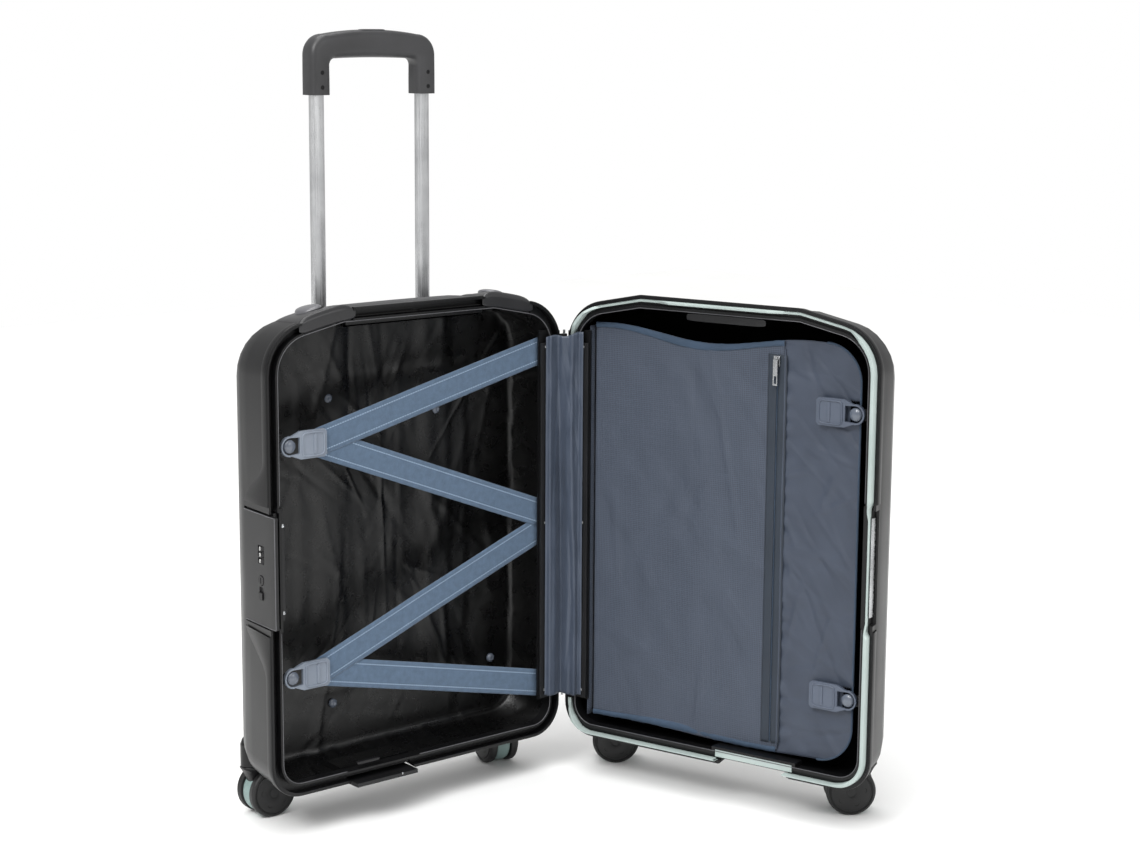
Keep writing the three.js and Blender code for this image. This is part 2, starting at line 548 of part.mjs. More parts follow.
// Flat plastic buckle: a square back end for the webbing, tapering to a ring that hooks over a knob.
const buckle = (z, y0, y1) => {
  const { back, waist, half, nose, hole } = BUCKLE;
  const arc = (radius, flat) => {
    const points = [[flat, radius * 0.94]];
    for (let i = 0; i <= 8; i++) {
      const angle = Math.PI / 2 + (i / 8) * Math.PI;
      points.push([KNOB.x + 0.5 + radius * Math.cos(angle), radius * Math.sin(angle)]);
    }
    points.push([flat, -radius * 0.94]);
    return points;
  };
  const outer = [[back, half - 3], [back - 3, half], [waist, half], ...arc(nose, KNOB.x + 2)];
  outer.push([waist, -half], [back - 3, -half], [back, 3 - half]);
  const lift = (points) => points.map(([x, dz]) => [x, z + dz]);
  return prism("y", lift(outer), y0, y1).subtract(prism("y", lift(arc(hole, waist - 1)), y0 - 1, y1 + 1));
};

// Domed knob on a bracket from the case wall, over which a buckle's ring is hooked.
const knob = (z, side, near, far) => {
  const wall = 177.2;
  const post = rod("y", KNOB.radius, ...between(side, near, far), KNOB.x, z, 16);
  return post.add(box(-wall, KNOB.x, ...between(side, far - 2, far), z - 6, z + 6));
};

const dividerPanel = () => {
  const { free, hinge, bottom, top, corner, y, thickness } = DIVIDER;
  const points = [[free + corner, bottom], [hinge, bottom], [hinge, top]];
  for (let i = 1; i < 10; i++) {
    const share = i / 10;
    points.push([hinge + share * (free + corner - hinge), top - 7 * Math.sin(share * Math.PI) ** 2]);
  }
  for (const [z, start] of [[top - corner, 90], [bottom + corner, 180]]) {
    for (let i = 0; i < 6; i++) {
      const angle = THREE.MathUtils.degToRad(start + i * 18);
      points.push([free + corner + corner * Math.cos(angle), z + corner * Math.sin(angle)]);
    }
  }
  points.pop();
  let panel = prism("y", points, y - thickness, y);
  for (const z of DIVIDER_BUCKLE_HEIGHTS) {
    panel = panel.subtract(box(-200, KNOB.x + 10, -100, 0, z - 10, z + 10));
  }
  return panel;
};

const zipperTape = () => box(ZIP.x - 9, ZIP.x + 9, DIVIDER.y + 0.3, DIVIDER.y + 1.3, ZIP.bottom, ZIP.top);

const zipSlider = () => {
  const y = DIVIDER.y + 1.6;
  const body = box(ZIP.x - 3.6, ZIP.x + 3.6, y, y + 2.2, ZIP.slider - 6, ZIP.slider + 5);
  return body.add(box(ZIP.x - 1, ZIP.x + 1, y + 2, y + 3.2, ZIP.slider - 5, ZIP.slider + 4));
};

const zipPull = () => {
  const y = DIVIDER.y + 5.3;
  const plate = box(ZIP.x - 2.6, ZIP.x + 2.6, y, y + 1.2, ZIP.slider - 26, ZIP.slider + 1.6);
  return plate.subtract(box(ZIP.x - 1.4, ZIP.x + 1.4, -100, 100, ZIP.slider - 24, ZIP.slider - 16));
};

// ---- casters -------------------------------------------------------------------------------------------
// Built round the swivel axis and trailing towards +x: a disc-shaped web between the two wheels, with the
// axle through it, hung from a round swivel plate and stem.
const casterFork = () => {
  const { trail, wheel, plate, stem, top } = CASTER;
  let fork = rod("y", wheel - 1.6, -plate / 2, plate / 2, trail, wheel, 18);
  fork = fork.add(rod("z", BOSS.radius, top - 2.7, top, 0, 0, 18));
  fork = fork.add(box(-8, trail, -plate / 2, plate / 2, wheel + 8, top - 2));
  fork = fork.add(rod("z", stem, top - 1, 72, 0, 0));
  return fork.add(rod("y", AXLE_RADIUS, -17, 17, trail, wheel, 8));
};

const casterWheel = (side) => {
  const r = CASTER.wheel;
  const bore = AXLE_RADIUS + 0.4;
  const near = CASTER.plate / 2 + 0.5;
  const far = near + CASTER.width;
  const profile = [[0, far - 1.1], [bore, far - 1.1], [bore, near], [r - 1, near], [r, near + 1.2],
    [r, far - 3.6], [r - 3, far - 1.2], [r / 2, far], [0, far]];
  const wheel = lathe(profile.map(([radius, along]) => [radius, side * along]), 18);
  return wheel.translate([CASTER.trail, 0, r]);
};

// ---- assembly ------------------------------------------------------------------------------------------
const suitcase = new THREE.Group();
const rear = new THREE.Group();
const front = new THREE.Group();
rear.position.copy(ORIGIN_SHIFT);
front.position.set(ORIGIN_SHIFT.x + HINGE_X, ORIGIN_SHIFT.y, ORIGIN_SHIFT.z);
front.rotation.z = OPEN_ANGLE;
suitcase.add(rear, front);

const place = (group, name, made, material, shiftX = 0) => {
  const mesh = new THREE.Mesh(geometryOf(made), material.clone());
  mesh.name = name;
  mesh.position.x = shiftX;
  group.add(mesh);
};
const inRear = (name, made, material) => place(rear, name, made, material);
const inFront = (name, made, material) => place(front, name, made, material, -HINGE_X);

inRear("rear_shell", rearShell(), SHELL_PLASTIC);
inRear("rear_lining", rearLining(), LINING_CLOTH);
inRear("hinge_rear_leaf", hingeLeaf(1, rearKnuckles), TRIM_PLASTIC);
inRear("hinge_pin", hingePin(), STEEL);
inRear("rear_gusset_strip", gussetStrip(1), TRIM_PLASTIC);
inRear("hinge_gusset", hingeGusset(), DIVIDER_CLOTH);
inRear("handle_base_left", handleBase(-1), SOFT_GRIP);
inRear("handle_base_right", handleBase(1), SOFT_GRIP);
inRear("carry_handle", carryHandle(), SOFT_GRIP);
for (const [side, x] of [["left", -TUBE_X], ["right", TUBE_X]]) {
  inRear(`guide_tube_${side}`, ovalTube(x, GUIDE), ALUMINIUM);
  inRear(`mid_tube_${side}`, ovalTube(x, MID), ALUMINIUM);
  inRear(`inner_tube_${side}`, ovalTube(x, INNER), ALUMINIUM);
}
inRear("trolley_base", trolleyFoot(), TRIM_PLASTIC);
inRear("trolley_bezel", trolleyBezel(), TRIM_PLASTIC);
inRear("grip", grip(), SOFT_GRIP);
inRear("push_button", pushButton(), TRIM_PLASTIC);
inRear("lock_base", lockBase(), TRIM_PLASTIC);
inRear("lock_lever", lockLever(), TRIM_PLASTIC);
DIAL.zs.forEach((z, i) => inRear(`lock_dial_${i + 1}`, dial(z), TRIM_PLASTIC));
inRear("key_cylinder", keyCylinder(), STEEL);
inRear("lock_button", lockButton(), TRIM_PLASTIC);
inRear("bottom_latch_bracket", latchBracket(), TRIM_PLASTIC);
inRear("bottom_latch", bottomLatch(), TRIM_PLASTIC);
["upper", "lower"].forEach((which, i) => {
  inRear(`rear_knob_${which}`, knob(BUCKLE_HEIGHTS[i], 1, 5.6, 14.2), BUCKLE_PLASTIC);
  const webbing = strap(STRAP_ENDS[2 * i], BUCKLE_HEIGHTS[i], STRAP_ENDS[2 * i + 1], STRAP.ys[i]);
  inRear(`strap_${which}`, webbing, WEBBING);
  inRear(`buckle_${which}`, buckle(BUCKLE_HEIGHTS[i], 7.7, 7.7 + BUCKLE.thickness), BUCKLE_PLASTIC);
  inFront(`front_knob_${which}`, knob(DIVIDER_BUCKLE_HEIGHTS[i], -1, 6.6, 14.7), BUCKLE_PLASTIC);
  inFront(`divider_buckle_${which}`, buckle(DIVIDER_BUCKLE_HEIGHTS[i], -12.3, BUCKLE.thickness - 12.3),
    BUCKLE_PLASTIC);
});
inFront("front_shell", frontShell(), SHELL_PLASTIC);
inFront("gasket", gasket(), GASKET_PLASTIC);
inFront("hinge_front_leaf", hingeLeaf(-1, frontKnuckles), TRIM_PLASTIC);
inFront("front_gusset_strip", gussetStrip(-1), TRIM_PLASTIC);
inFront("lock_striker", lockStriker(), STEEL);
inFront("bottom_striker", bottomStriker(), GASKET_PLASTIC);
inFront("divider_panel", dividerPanel(), DIVIDER_CLOTH);
inFront("zipper_tape", zipperTape(), DIVIDER_CLOTH);
inFront("zip_slider", zipSlider(), STEEL);
inFront("zip_pull", zipPull(), STEEL);

// Each caster's trail direction is given in the coordinates of the half that carries it.
const casters = [
  ["caster_rear_free", rear, -REAR_CASTER.x, REAR_CASTER.y, -2.3],
  ["caster_rear_hinge", rear, REAR_CASTER.x, REAR_CASTER.y, 257.3],
  ["caster_front_free", front, -FRONT_CASTER.x - HINGE_X, FRONT_CASTER.y, 34.8],
  ["caster_front_hinge", front, FRONT_CASTER.x - HINGE_X, FRONT_CASTER.y, 34.8],
];
for (const [name, half, x, y, trail] of casters) {
  const caster = new THREE.Group();
  caster.position.set(x, y, 0);
  caster.rotation.z = THREE.MathUtils.degToRad(trail);
  half.add(caster);
  place(caster, `${name}_fork`, casterFork(), TRIM_PLASTIC);
  place(caster, `${name}_wheel_a`, casterWheel(1), TYRE);
  place(caster, `${name}_wheel_b`, casterWheel(-1), TYRE);
}

export default suitcase;
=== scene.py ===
"""Hard-shell cabin case on four twin-wheel casters, open, with its trolley up: finishes and soft pieces.

Lengths inside the shape functions are millimetres of the closed case: x across it (hinge side positive),
y = 0 at the parting plane (rear half positive), z up. rear() and front() put them in the part's frame.
"""
import json
import math
import bmesh
import bpy
import numpy as np
from mathutils import Matrix, Vector

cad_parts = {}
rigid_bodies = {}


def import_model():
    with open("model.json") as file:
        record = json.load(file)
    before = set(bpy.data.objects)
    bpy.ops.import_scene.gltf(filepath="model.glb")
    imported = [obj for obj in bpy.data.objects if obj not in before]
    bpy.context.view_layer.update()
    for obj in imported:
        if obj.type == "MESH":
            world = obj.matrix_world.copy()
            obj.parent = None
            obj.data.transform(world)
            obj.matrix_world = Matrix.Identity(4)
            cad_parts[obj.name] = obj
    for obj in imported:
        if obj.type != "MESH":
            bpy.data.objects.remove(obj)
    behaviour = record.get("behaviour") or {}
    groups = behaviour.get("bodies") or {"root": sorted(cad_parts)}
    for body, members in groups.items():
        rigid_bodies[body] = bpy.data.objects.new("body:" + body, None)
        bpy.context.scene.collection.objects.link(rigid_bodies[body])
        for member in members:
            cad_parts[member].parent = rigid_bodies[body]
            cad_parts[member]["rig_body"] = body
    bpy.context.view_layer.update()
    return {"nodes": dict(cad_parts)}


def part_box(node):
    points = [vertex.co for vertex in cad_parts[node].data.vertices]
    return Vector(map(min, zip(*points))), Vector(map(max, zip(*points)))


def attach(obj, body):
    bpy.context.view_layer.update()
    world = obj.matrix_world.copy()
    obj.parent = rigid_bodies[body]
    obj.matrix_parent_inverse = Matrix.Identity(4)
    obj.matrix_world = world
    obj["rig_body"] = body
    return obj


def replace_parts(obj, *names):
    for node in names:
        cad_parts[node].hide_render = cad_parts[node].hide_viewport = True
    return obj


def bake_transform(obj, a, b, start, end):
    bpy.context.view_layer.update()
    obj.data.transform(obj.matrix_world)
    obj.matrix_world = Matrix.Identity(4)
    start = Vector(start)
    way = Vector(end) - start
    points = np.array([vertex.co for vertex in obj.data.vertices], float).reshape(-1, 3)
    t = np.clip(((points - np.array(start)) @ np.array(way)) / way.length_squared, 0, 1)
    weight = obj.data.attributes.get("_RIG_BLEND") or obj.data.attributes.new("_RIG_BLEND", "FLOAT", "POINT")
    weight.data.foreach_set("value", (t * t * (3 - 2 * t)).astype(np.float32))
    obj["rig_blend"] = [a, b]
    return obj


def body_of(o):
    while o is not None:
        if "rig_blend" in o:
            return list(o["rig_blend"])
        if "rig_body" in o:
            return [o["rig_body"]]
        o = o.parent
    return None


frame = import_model()

# ---- the case, as the CAD holds it ---------------------------------------------------------------------
PIN = (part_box("hinge_pin")[0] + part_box("hinge_pin")[1]) / 2
HINGE_X = 194.5
OPEN_ANGLE = math.radians(105)
HALF_WIDTH, BOTTOM, TOP = 190.0, 46.0, 545.0
TOP_FLAT, SHOULDER, CORNER_TOP, CORNER_BOTTOM = 97.0, math.radians(11.5), 52.0, 36.0
REAR_DEPTH, REAR_ROUND = 104.0, 60.0
FRONT_DEPTH, FRONT_ROUND = 94.0, 70.0
DRAFT = 4.0
TUBE_X = 67.5
LOCK_MIDDLE = 286
KNOB_X = -159.0
ZIP_X = -65.0
WHEEL_RADIUS, WHEEL_TRAIL = 26.5, 18.0


def rear(p):
    """Closed-case millimetres to frame metres for the rear half: a shift that puts the hinge on the pin."""
    p = np.asarray(p, float) * 0.001
    return p + np.array([PIN.x - HINGE_X * 0.001, PIN.y, 0.0])


def front(p):
    """The same for the front half, which is also turned open about the hinge."""
    p = np.asarray(p, float) * 0.001
    x, y = p[..., 0] - HINGE_X * 0.001, p[..., 1]
    c, s = math.cos(OPEN_ANGLE), math.sin(OPEN_ANGLE)
    return np.stack([PIN.x + x * c - y * s, PIN.y + x * s + y * c, p[..., 2]], axis=-1)


def outline(inset, loss=None, steps=14):
    """Case outline drawn in by inset: round bottom corners, round top corners that meet falling shoulders,
    and a level top. Points run anticlockwise from the hinge side's bottom corner."""
    loss = inset if loss is None else loss
    half, low, high = HALF_WIDTH - inset, BOTTOM + inset, TOP - inset
    top, bottom = max(CORNER_TOP - loss, 4.0), max(CORNER_BOTTOM - loss, 4.0)
    shoulder_x = half - top + top * math.sin(SHOULDER)
    flat = min(TOP_FLAT, shoulder_x - 4)
    shoulder_z = high - (shoulder_x - flat) * math.tan(SHOULDER)
    centre = shoulder_z - top * math.cos(SHOULDER)
    a = np.linspace(-math.pi / 2, 0, steps)
    b = np.linspace(0, math.pi / 2 - SHOULDER, steps)
    right = np.concatenate([
        np.stack([half - bottom + bottom * np.cos(a), low + bottom + bottom * np.sin(a)], 1),
        np.stack([half - top + top * np.cos(b), centre + top * np.sin(b)], 1),
        [[flat, high]]])
    return np.concatenate([right, right[::-1] * [-1, 1]])


def evenly(ring, count):
    """A closed ring of points walked at equal steps: each point is at its share of the ring's length."""
    ring = np.concatenate([ring, ring[:1]])
    gone = np.concatenate([[0], np.cumsum(np.linalg.norm(np.diff(ring, axis=0), axis=1))])
    at = np.arange(count) / count * gone[-1]
    return np.stack([np.interp(at, gone, ring[:, k]) for k in range(ring.shape[1])], 1)


def skin_inset(depth, total, round_):
    """How far the shell's skin lies inside its rim outline: a slight draft, then a quarter circle."""
    straight = total - round_
    share = np.clip((depth - straight) / round_, 0, 1)
    return np.where(depth <= straight, DRAFT * np.maximum(depth, 0) / straight,
                    DRAFT + (round_ - DRAFT) * (1 - np.sqrt(1 - share ** 2)))


def ease(share):
    """An S from 0 to 1, level at both ends."""
    return share * share * (3 - 2 * share)


def squarer(wave, power):
    """Bulges a cosine or sine by a power below 1, so that the circle it draws becomes a rounded square."""
    return np.sign(wave) * np.abs(wave) ** power


def joined(*parts):
    """Coordinates stretched to one shape and put together as points."""
    return np.stack(np.broadcast_arrays(*parts), -1)


# ---- mesh making ---------------------------------------------------------------------------------------
def piece(name, points, body, finish, around=False, along=False, uv=None, caps=False, smooth=True,
          keep=None, flip=False):
    """A named surface from a grid of frame points (rows, columns, 3): one quad per cell. around closes the
    columns into a ring, along closes the rows, caps fills the first and last ring. uv is a (rows, columns, 2)
    grid in metres; keep drops the cells where it is False."""
    rows, cols = points.shape[:2]
    r = np.arange(rows if along else rows - 1)
    c = np.arange(cols if around else cols - 1)
    i, j = np.meshgrid(r, c, indexing="ij")
    corners = [(i, j), (i, j + 1), (i + 1, j + 1), (i + 1, j)]
    if flip:
        corners = corners[::-1]
    faces = np.stack([(a % rows) * cols + b % cols for a, b in corners], -1)
    wanted = np.ones(i.shape, bool) if keep is None else keep
    faces = faces[wanted].reshape(-1, 4)
    polygons = faces.tolist()
    if caps:
        first, last = np.arange(cols), (rows - 1) * cols + np.arange(cols)
        polygons += [(first if flip else first[::-1]).tolist(), (last[::-1] if flip else last).tolist()]
    mesh = bpy.data.meshes.new(name)
    mesh.from_pydata(points.reshape(-1, 3).tolist(), [], polygons)
    layer = mesh.uv_layers.new(name="UVMap")
    if uv is None:
        v, u = np.meshgrid(np.linspace(0, 1, rows + 1), np.linspace(0, 1, cols + 1), indexing="ij")
        uv = np.stack([u, v], -1)
    grown = np.pad(uv, ((0, max(0, rows + 1 - uv.shape[0])), (0, max(0, cols + 1 - uv.shape[1])), (0, 0)),
                   mode="reflect", reflect_type="odd")
    flat = np.stack([grown[a, b] for a, b in corners], -2)[wanted].reshape(-1, 2)
    values = np.zeros((len(layer.data), 2))
    values[:len(flat)] = flat
    layer.data.foreach_set("uv", values.ravel())
    mesh.update()
    return finished(bpy.data.objects.new(name, mesh), body, finish, smooth)


def finished(obj, body, finish, smooth=True, angle=40):
    """Links a piece, merges points that coincide, shades it smooth up to an angle and sets its finish."""
    bm = bmesh.new()
    bm.from_mesh(obj.data)
    bmesh.ops.remove_doubles(bm, verts=bm.verts, dist=2e-6)
    bmesh.ops.dissolve_degenerate(bm, edges=bm.edges, dist=1e-6)
    bm.to_mesh(obj.data)
    bm.free()
    if smooth:
        obj.data.shade_smooth()
        obj.data.set_sharp_from_angle(angle=math.radians(angle))
    obj.data.materials.clear()
    obj.data.materials.append(finish)
    if obj.name not in bpy.context.scene.collection.objects:
        bpy.context.scene.collection.objects.link(obj)
    if body:
        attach(obj, body)
    return obj


def moulding(node, finish, bevel, angle=32):
    """A hard CAD node carried over: its own shape, welded, with softened edges and smooth rounds."""
    old = frame["nodes"][node]
    mesh = old.data.copy()
    obj = bpy.data.objects.new(f"{node}_finished", mesh)
    bm = bmesh.new()
    bm.from_mesh(mesh)
    bmesh.ops.remove_doubles(bm, verts=bm.verts, dist=2e-6)
    bmesh.ops.dissolve_limit(bm, angle_limit=math.radians(0.6), verts=bm.verts, edges=bm.edges)
    bm.to_mesh(mesh)
    bm.free()
    mesh.shade_smooth()
    mesh.set_sharp_from_angle(angle=math.radians(angle))
    mesh.materials.clear()
    mesh.materials.append(finish)
    bpy.context.scene.collection.objects.link(obj)
    if bevel:
        edge = obj.modifiers.new("softened edges", "BEVEL")
        edge.width, edge.segments = bevel * 0.001, 2
        edge.limit_method, edge.angle_limit = "ANGLE", math.radians(angle)
        edge.harden_normals = False
    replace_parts(obj, node)
    body = body_of(old)
    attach(obj, body[0] if isinstance(body, (list, tuple)) else body)
    return obj


def thicken(obj, mm, offset=0.0):
    wall = obj.modifiers.new("thickness", "SOLIDIFY")
    wall.thickness, wall.offset = mm * 0.001, offset
    return obj


def tube(path, radius, sides=12):
    """A round rope along a path (points, 3): each ring stands square to the path."""
    path = np.asarray(path, float)
    ahead = np.gradient(path, axis=0)
    ahead /= np.linalg.norm(ahead, axis=1, keepdims=True)
    helper = np.where(np.abs(ahead[:, 1:2]) > 0.9, [[1.0, 0, 0]], [[0, 1.0, 0]])
    side = np.cross(ahead, helper)
    side /= np.linalg.norm(side, axis=1, keepdims=True)
    up = np.cross(side, ahead)
    turn = np.linspace(0, 2 * math.pi, sides, endpoint=False)
    radius = np.broadcast_to(np.asarray(radius, float), (len(path),))
    return (path[:, None] + radius[:, None, None] * (np.cos(turn)[None, :, None] * side[:, None]
            + np.sin(turn)[None, :, None] * up[:, None]))


def lathe(profile, segments=48):
    """A profile of (radius, along) pairs turned round the z axis."""
    profile = np.asarray(profile, float)
    turn = np.linspace(0, 2 * math.pi, segments, endpoint=False)
    r, h = profile[:, :1], profile[:, 1:]
    return joined(r * np.cos(turn), r * np.sin(turn), h)


def rope(name, path, radius, body, finish, sides=8):
    """A tube along a path, closed at both ends."""
    return piece(name, tube(path, radius, sides), body, finish, around=True, caps=True)


def facing(points, axis, centre):
    """Turns a lathe's z axis to +y or -y and puts its origin at centre."""
    x, y, z = points[..., 0], points[..., 1], points[..., 2]
    turned = {"y": (y, z, x), "-y": (x, -z, y)}[axis]
    return np.stack(turned, -1) + np.asarray(centre, float)


def ripple(u, v, seed, count, width, reach, tilt, spread=0.3, bounds=((0, 1), (0, 1))):
    """Creases in cloth: a sum of soft ridges and valleys, each a Gaussian across and along its own line."""
    rng = np.random.default_rng(seed)
    total = np.zeros_like(u)
    for _ in range(count):
        a = tilt + rng.normal(0, spread)
        cu, cv = rng.uniform(*bounds[0]), rng.uniform(*bounds[1])
        w, l = width * rng.uniform(0.5, 1.6), reach * rng.uniform(0.5, 1.5)
        along = (u - cu) * math.cos(a) + (v - cv) * math.sin(a)
        across = -(u - cu) * math.sin(a) + (v - cv) * math.cos(a) + 0.15 * w * np.sin(along / l * 2)
        total += rng.choice([-0.7, 1.0]) * rng.uniform(0.4, 1) * np.exp(-(across / w) ** 2 - (along / l) ** 2)
    return total


# ---- finishes ------------------------------------------------------------------------------------------
def shade(hexa):
    """#rrggbb as the display shows it, to the linear colour that a shader takes."""
    c = [int(hexa[k:k + 2], 16) / 255 for k in (1, 3, 5)]
    return tuple(v / 12.92 if v <= 0.04045 else ((v + 0.055) / 1.055) ** 2.4 for v in c) + (1.0,)


class Finish:
    """A node material with its shader, and short ways to add textures to it."""

    def __init__(self, name, roughness, metallic=0.0, coat=0.0, sheen=0.0, specular=0.5):
        self.material = bpy.data.materials.new(name)
        self.material.use_nodes = True
        self.nodes, self.links = self.material.node_tree.nodes, self.material.node_tree.links
        self.shader = self.nodes["Principled BSDF"]
        put = self.shader.inputs
        put["Roughness"].default_value, put["Metallic"].default_value = roughness, metallic
        put["Coat Weight"].default_value, put["Coat Roughness"].default_value = coat, 0.25
        put["Sheen Weight"].default_value, put["Sheen Roughness"].default_value = sheen, 0.4
        put["Specular IOR Level"].default_value = specular
        self.place = self.nodes.new("ShaderNodeTexCoord")
        self.bump = None

    def coords(self, kind="Object", scale=(1, 1, 1), turn=(0, 0, 0)):
        m = self.nodes.new("ShaderNodeMapping")
        m.inputs["Scale"].default_value, m.inputs["Rotation"].default_value = scale, turn
        self.links.new(self.place.outputs[kind], m.inputs["Vector"])
        return m.outputs["Vector"]

    def noise(self, scale, vector=None, detail=4, rough=0.55):
        n = self.nodes.new("ShaderNodeTexNoise")
        n.inputs["Scale"].default_value, n.inputs["Detail"].default_value = scale, detail
        n.inputs["Roughness"].default_value = rough
        self.links.new(vector or self.coords(), n.inputs["Vector"])
        return n.outputs["Fac"]

    def wave(self, pitch, direction, vector, profile="SIN", distortion=0.0):
        w = self.nodes.new("ShaderNodeTexWave")
        w.bands_direction, w.wave_profile = direction, profile
        w.inputs["Scale"].default_value = 0.314 / pitch
        w.inputs["Distortion"].default_value = distortion
        self.links.new(vector, w.inputs["Vector"])
        return w.outputs["Fac"]

    def maths(self, how, a, b=0.0):
        m = self.nodes.new("ShaderNodeMath")
        m.operation = how
        for socket, value in zip(m.inputs, (a, b)):
            if isinstance(value, (int, float)):
                socket.default_value = value
            else:
                self.links.new(value, socket)
        return m.outputs[0]

    def spread(self, value, low, high, to_low=0.0, to_high=1.0):
        m = self.nodes.new("ShaderNodeMapRange")
        for key, number in zip(("From Min", "From Max", "To Min", "To Max"), (low, high, to_low, to_high)):
            m.inputs[key].default_value = number
        self.links.new(value, m.inputs["Value"])
        return m.outputs["Result"]

    def ramp(self, value, *stops):
        r = self.nodes.new("ShaderNodeValToRGB")
        while len(r.color_ramp.elements) < len(stops):
            r.color_ramp.elements.new(0.5)
        for element, (at, hexa) in zip(r.color_ramp.elements, stops):
            element.position, element.color = at, shade(hexa)
        self.links.new(value, r.inputs["Fac"])
        return r.outputs["Color"]

    def blend(self, share, a, b, how="MIX"):
        m = self.nodes.new("ShaderNodeMix")
        m.data_type, m.blend_type = "RGBA", how
        self.links.new(share, m.inputs["Factor"])
        for key, value in ((6, a), (7, b)):
            if isinstance(value, str):
                m.inputs[key].default_value = shade(value)
            else:
                self.links.new(value, m.inputs[key])
        return m.outputs[2]

    def colour(self, value):
        self.links.new(value, self.shader.inputs["Base Color"])
        return self

    def rough(self, value):
        self.links.new(value, self.shader.inputs["Roughness"])
        return self

    def raise_by(self, height, mm, strength=1.0):
        b = self.nodes.new("ShaderNodeBump")
        b.inputs["Distance"].default_value, b.inputs["Strength"].default_value = mm * 0.001, strength
        self.links.new(height, b.inputs["Height"])
        if self.bump:
            self.links.new(self.bump, b.inputs["Normal"])
        self.bump = b.outputs["Normal"]
        self.links.new(self.bump, self.shader.inputs["Normal"])
        return self


def plastic(name, dark, light, roughness, grain=2600, depth=0.05, coat=0.0, specular=0.5):
    """Moulded plastic: fine spark-eroded grain, faint cloudiness in colour, and polish that varies."""
    f = Finish(name, roughness, coat=coat, specular=specular)
    cloud, fine = f.noise(9, detail=3), f.noise(grain, detail=2)
    rubbed = f.noise(38, detail=6, rough=0.7)
    f.colour(f.ramp(f.maths("ADD", f.maths("MULTIPLY", cloud, 0.6), f.maths("MULTIPLY", rubbed, 0.4)),
                    (0.3, dark), (0.7, light)))
    f.rough(f.spread(f.maths("ADD", cloud, f.maths("MULTIPLY", fine, 0.5)), 0.4, 1.1,
                     roughness - 0.05, roughness + 0.09))
    return f.raise_by(fine, depth).material


def metal(name, dark, light, roughness, grain=(900, 900, 14)):
    """Drawn or turned metal: long fine lines along z, and slight clouding."""
    f = Finish(name, roughness, metallic=1.0)
    lines = f.noise(1, f.coords(scale=grain), detail=3)
    f.colour(f.ramp(f.noise(20, detail=3), (0.3, dark), (0.7, light)))
    f.rough(f.spread(lines, 0.3, 0.7, roughness - 0.06, roughness + 0.1))
    return f.raise_by(lines, 0.02).material


def webbing(name, dark, light, stitch, half):
    """Woven tape on its own UV (metres, u across from the middle): ribs, chevrons and a stitched line near
    each edge."""
    f = Finish(name, 0.75, sheen=0.25)
    uv = f.coords("UV")
    split = f.nodes.new("ShaderNodeSeparateXYZ")
    f.links.new(uv, split.inputs[0])
    ribs = f.wave(0.0011, "X", uv)
    picks = f.wave(0.0009, "Y", uv)
    weave = f.maths("MULTIPLY", ribs, picks)
    cloth = f.ramp(f.maths("ADD", f.maths("MULTIPLY", weave, 0.5), f.maths("MULTIPLY", f.noise(160), 0.5)),
                   (0.2, dark), (0.75, light))
    inset = f.maths("ABSOLUTE", f.maths("SUBTRACT", f.maths("ABSOLUTE", split.outputs[0]), half - 0.005))
    seam = f.maths("LESS_THAN", inset, 0.0006)
    dash = f.maths("GREATER_THAN", f.wave(0.0032, "Y", uv), 0.25)
    thread = f.maths("MULTIPLY", seam, dash)
    f.colour(f.blend(thread, cloth, stitch))
    f.raise_by(weave, 0.25)
    return f.raise_by(thread, 0.3).material


def woven(name, dark, light, pitch, roughness, sheen, depth, cloud=30, grid=0.0, grid_colour=None,
          specular=0.4):
    """Plain woven cloth on its own UV in metres: two crossed sets of threads, cloudy dye and, with a grid,
    heavier ripstop threads each way."""
    f = Finish(name, roughness, sheen=sheen, specular=specular)
    uv = f.coords("UV")
    threads = f.maths("MULTIPLY", f.wave(pitch, "X", uv), f.wave(pitch, "Y", uv))
    tone = f.maths("ADD", f.maths("MULTIPLY", threads, 0.45),
                   f.maths("MULTIPLY", f.noise(cloud, detail=5), 0.55))
    cloth = f.ramp(tone, (0.2, dark), (0.75, light))
    if grid:
        bars = f.maths("MAXIMUM", f.maths("GREATER_THAN", f.wave(grid, "X", uv), 0.9),
                       f.maths("GREATER_THAN", f.wave(grid, "Y", uv), 0.9))
        cloth = f.blend(bars, cloth, grid_colour)
        f.raise_by(bars, 0.12)
    f.colour(cloth)
    f.rough(f.spread(f.noise(60), 0.3, 0.7, roughness - 0.08, roughness + 0.08))
    return f.raise_by(threads, depth).material


SHELL = plastic("shell_black", "#08080a", "#101011", 0.33, grain=2200, depth=0.03, specular=0.32)
TRIM = plastic("trim_black", "#101011", "#19191b", 0.40, specular=0.4)
DARK_TRIM = plastic("recess_black", "#070708", "#0e0e0f", 0.55, specular=0.25)
CAP = plastic("cap_satin", "#1a1a1b", "#252527", 0.32, grain=3000, depth=0.02, coat=0.15)
GRIP = plastic("soft_grip", "#2b2b2c", "#39393b", 0.42, grain=3400, depth=0.03)
GASKET = plastic("gasket_grey", "#98a5a2", "#afbbb8", 0.42, grain=1800, depth=0.02)
HOUSING = plastic("caster_grey", "#5f7573", "#8ba09d", 0.45, grain=2400, depth=0.02)
# Lighter grey for thin ropes along sharp edges, standing in for the bright lines that light draws there: a
# painted highlight.
LIP_HIGHLIGHT = plastic("lip_highlight_grey", "#47474a", "#5e5e61", 0.32, grain=2600, depth=0.02)
TYRE = plastic("wheel_black", "#0c0c0d", "#161617", 0.5, grain=1500, depth=0.06)
BUCKLE = plastic("buckle_grey", "#69727f", "#818995", 0.40, grain=2600, depth=0.02)
BUCKLE_DARK = plastic("divider_buckle_grey", "#454d5b", "#565e6d", 0.42, grain=2600, depth=0.02)
KNOB = plastic("knob_grey", "#4a515d", "#666d79", 0.2, coat=0.5, grain=2800, depth=0.01)
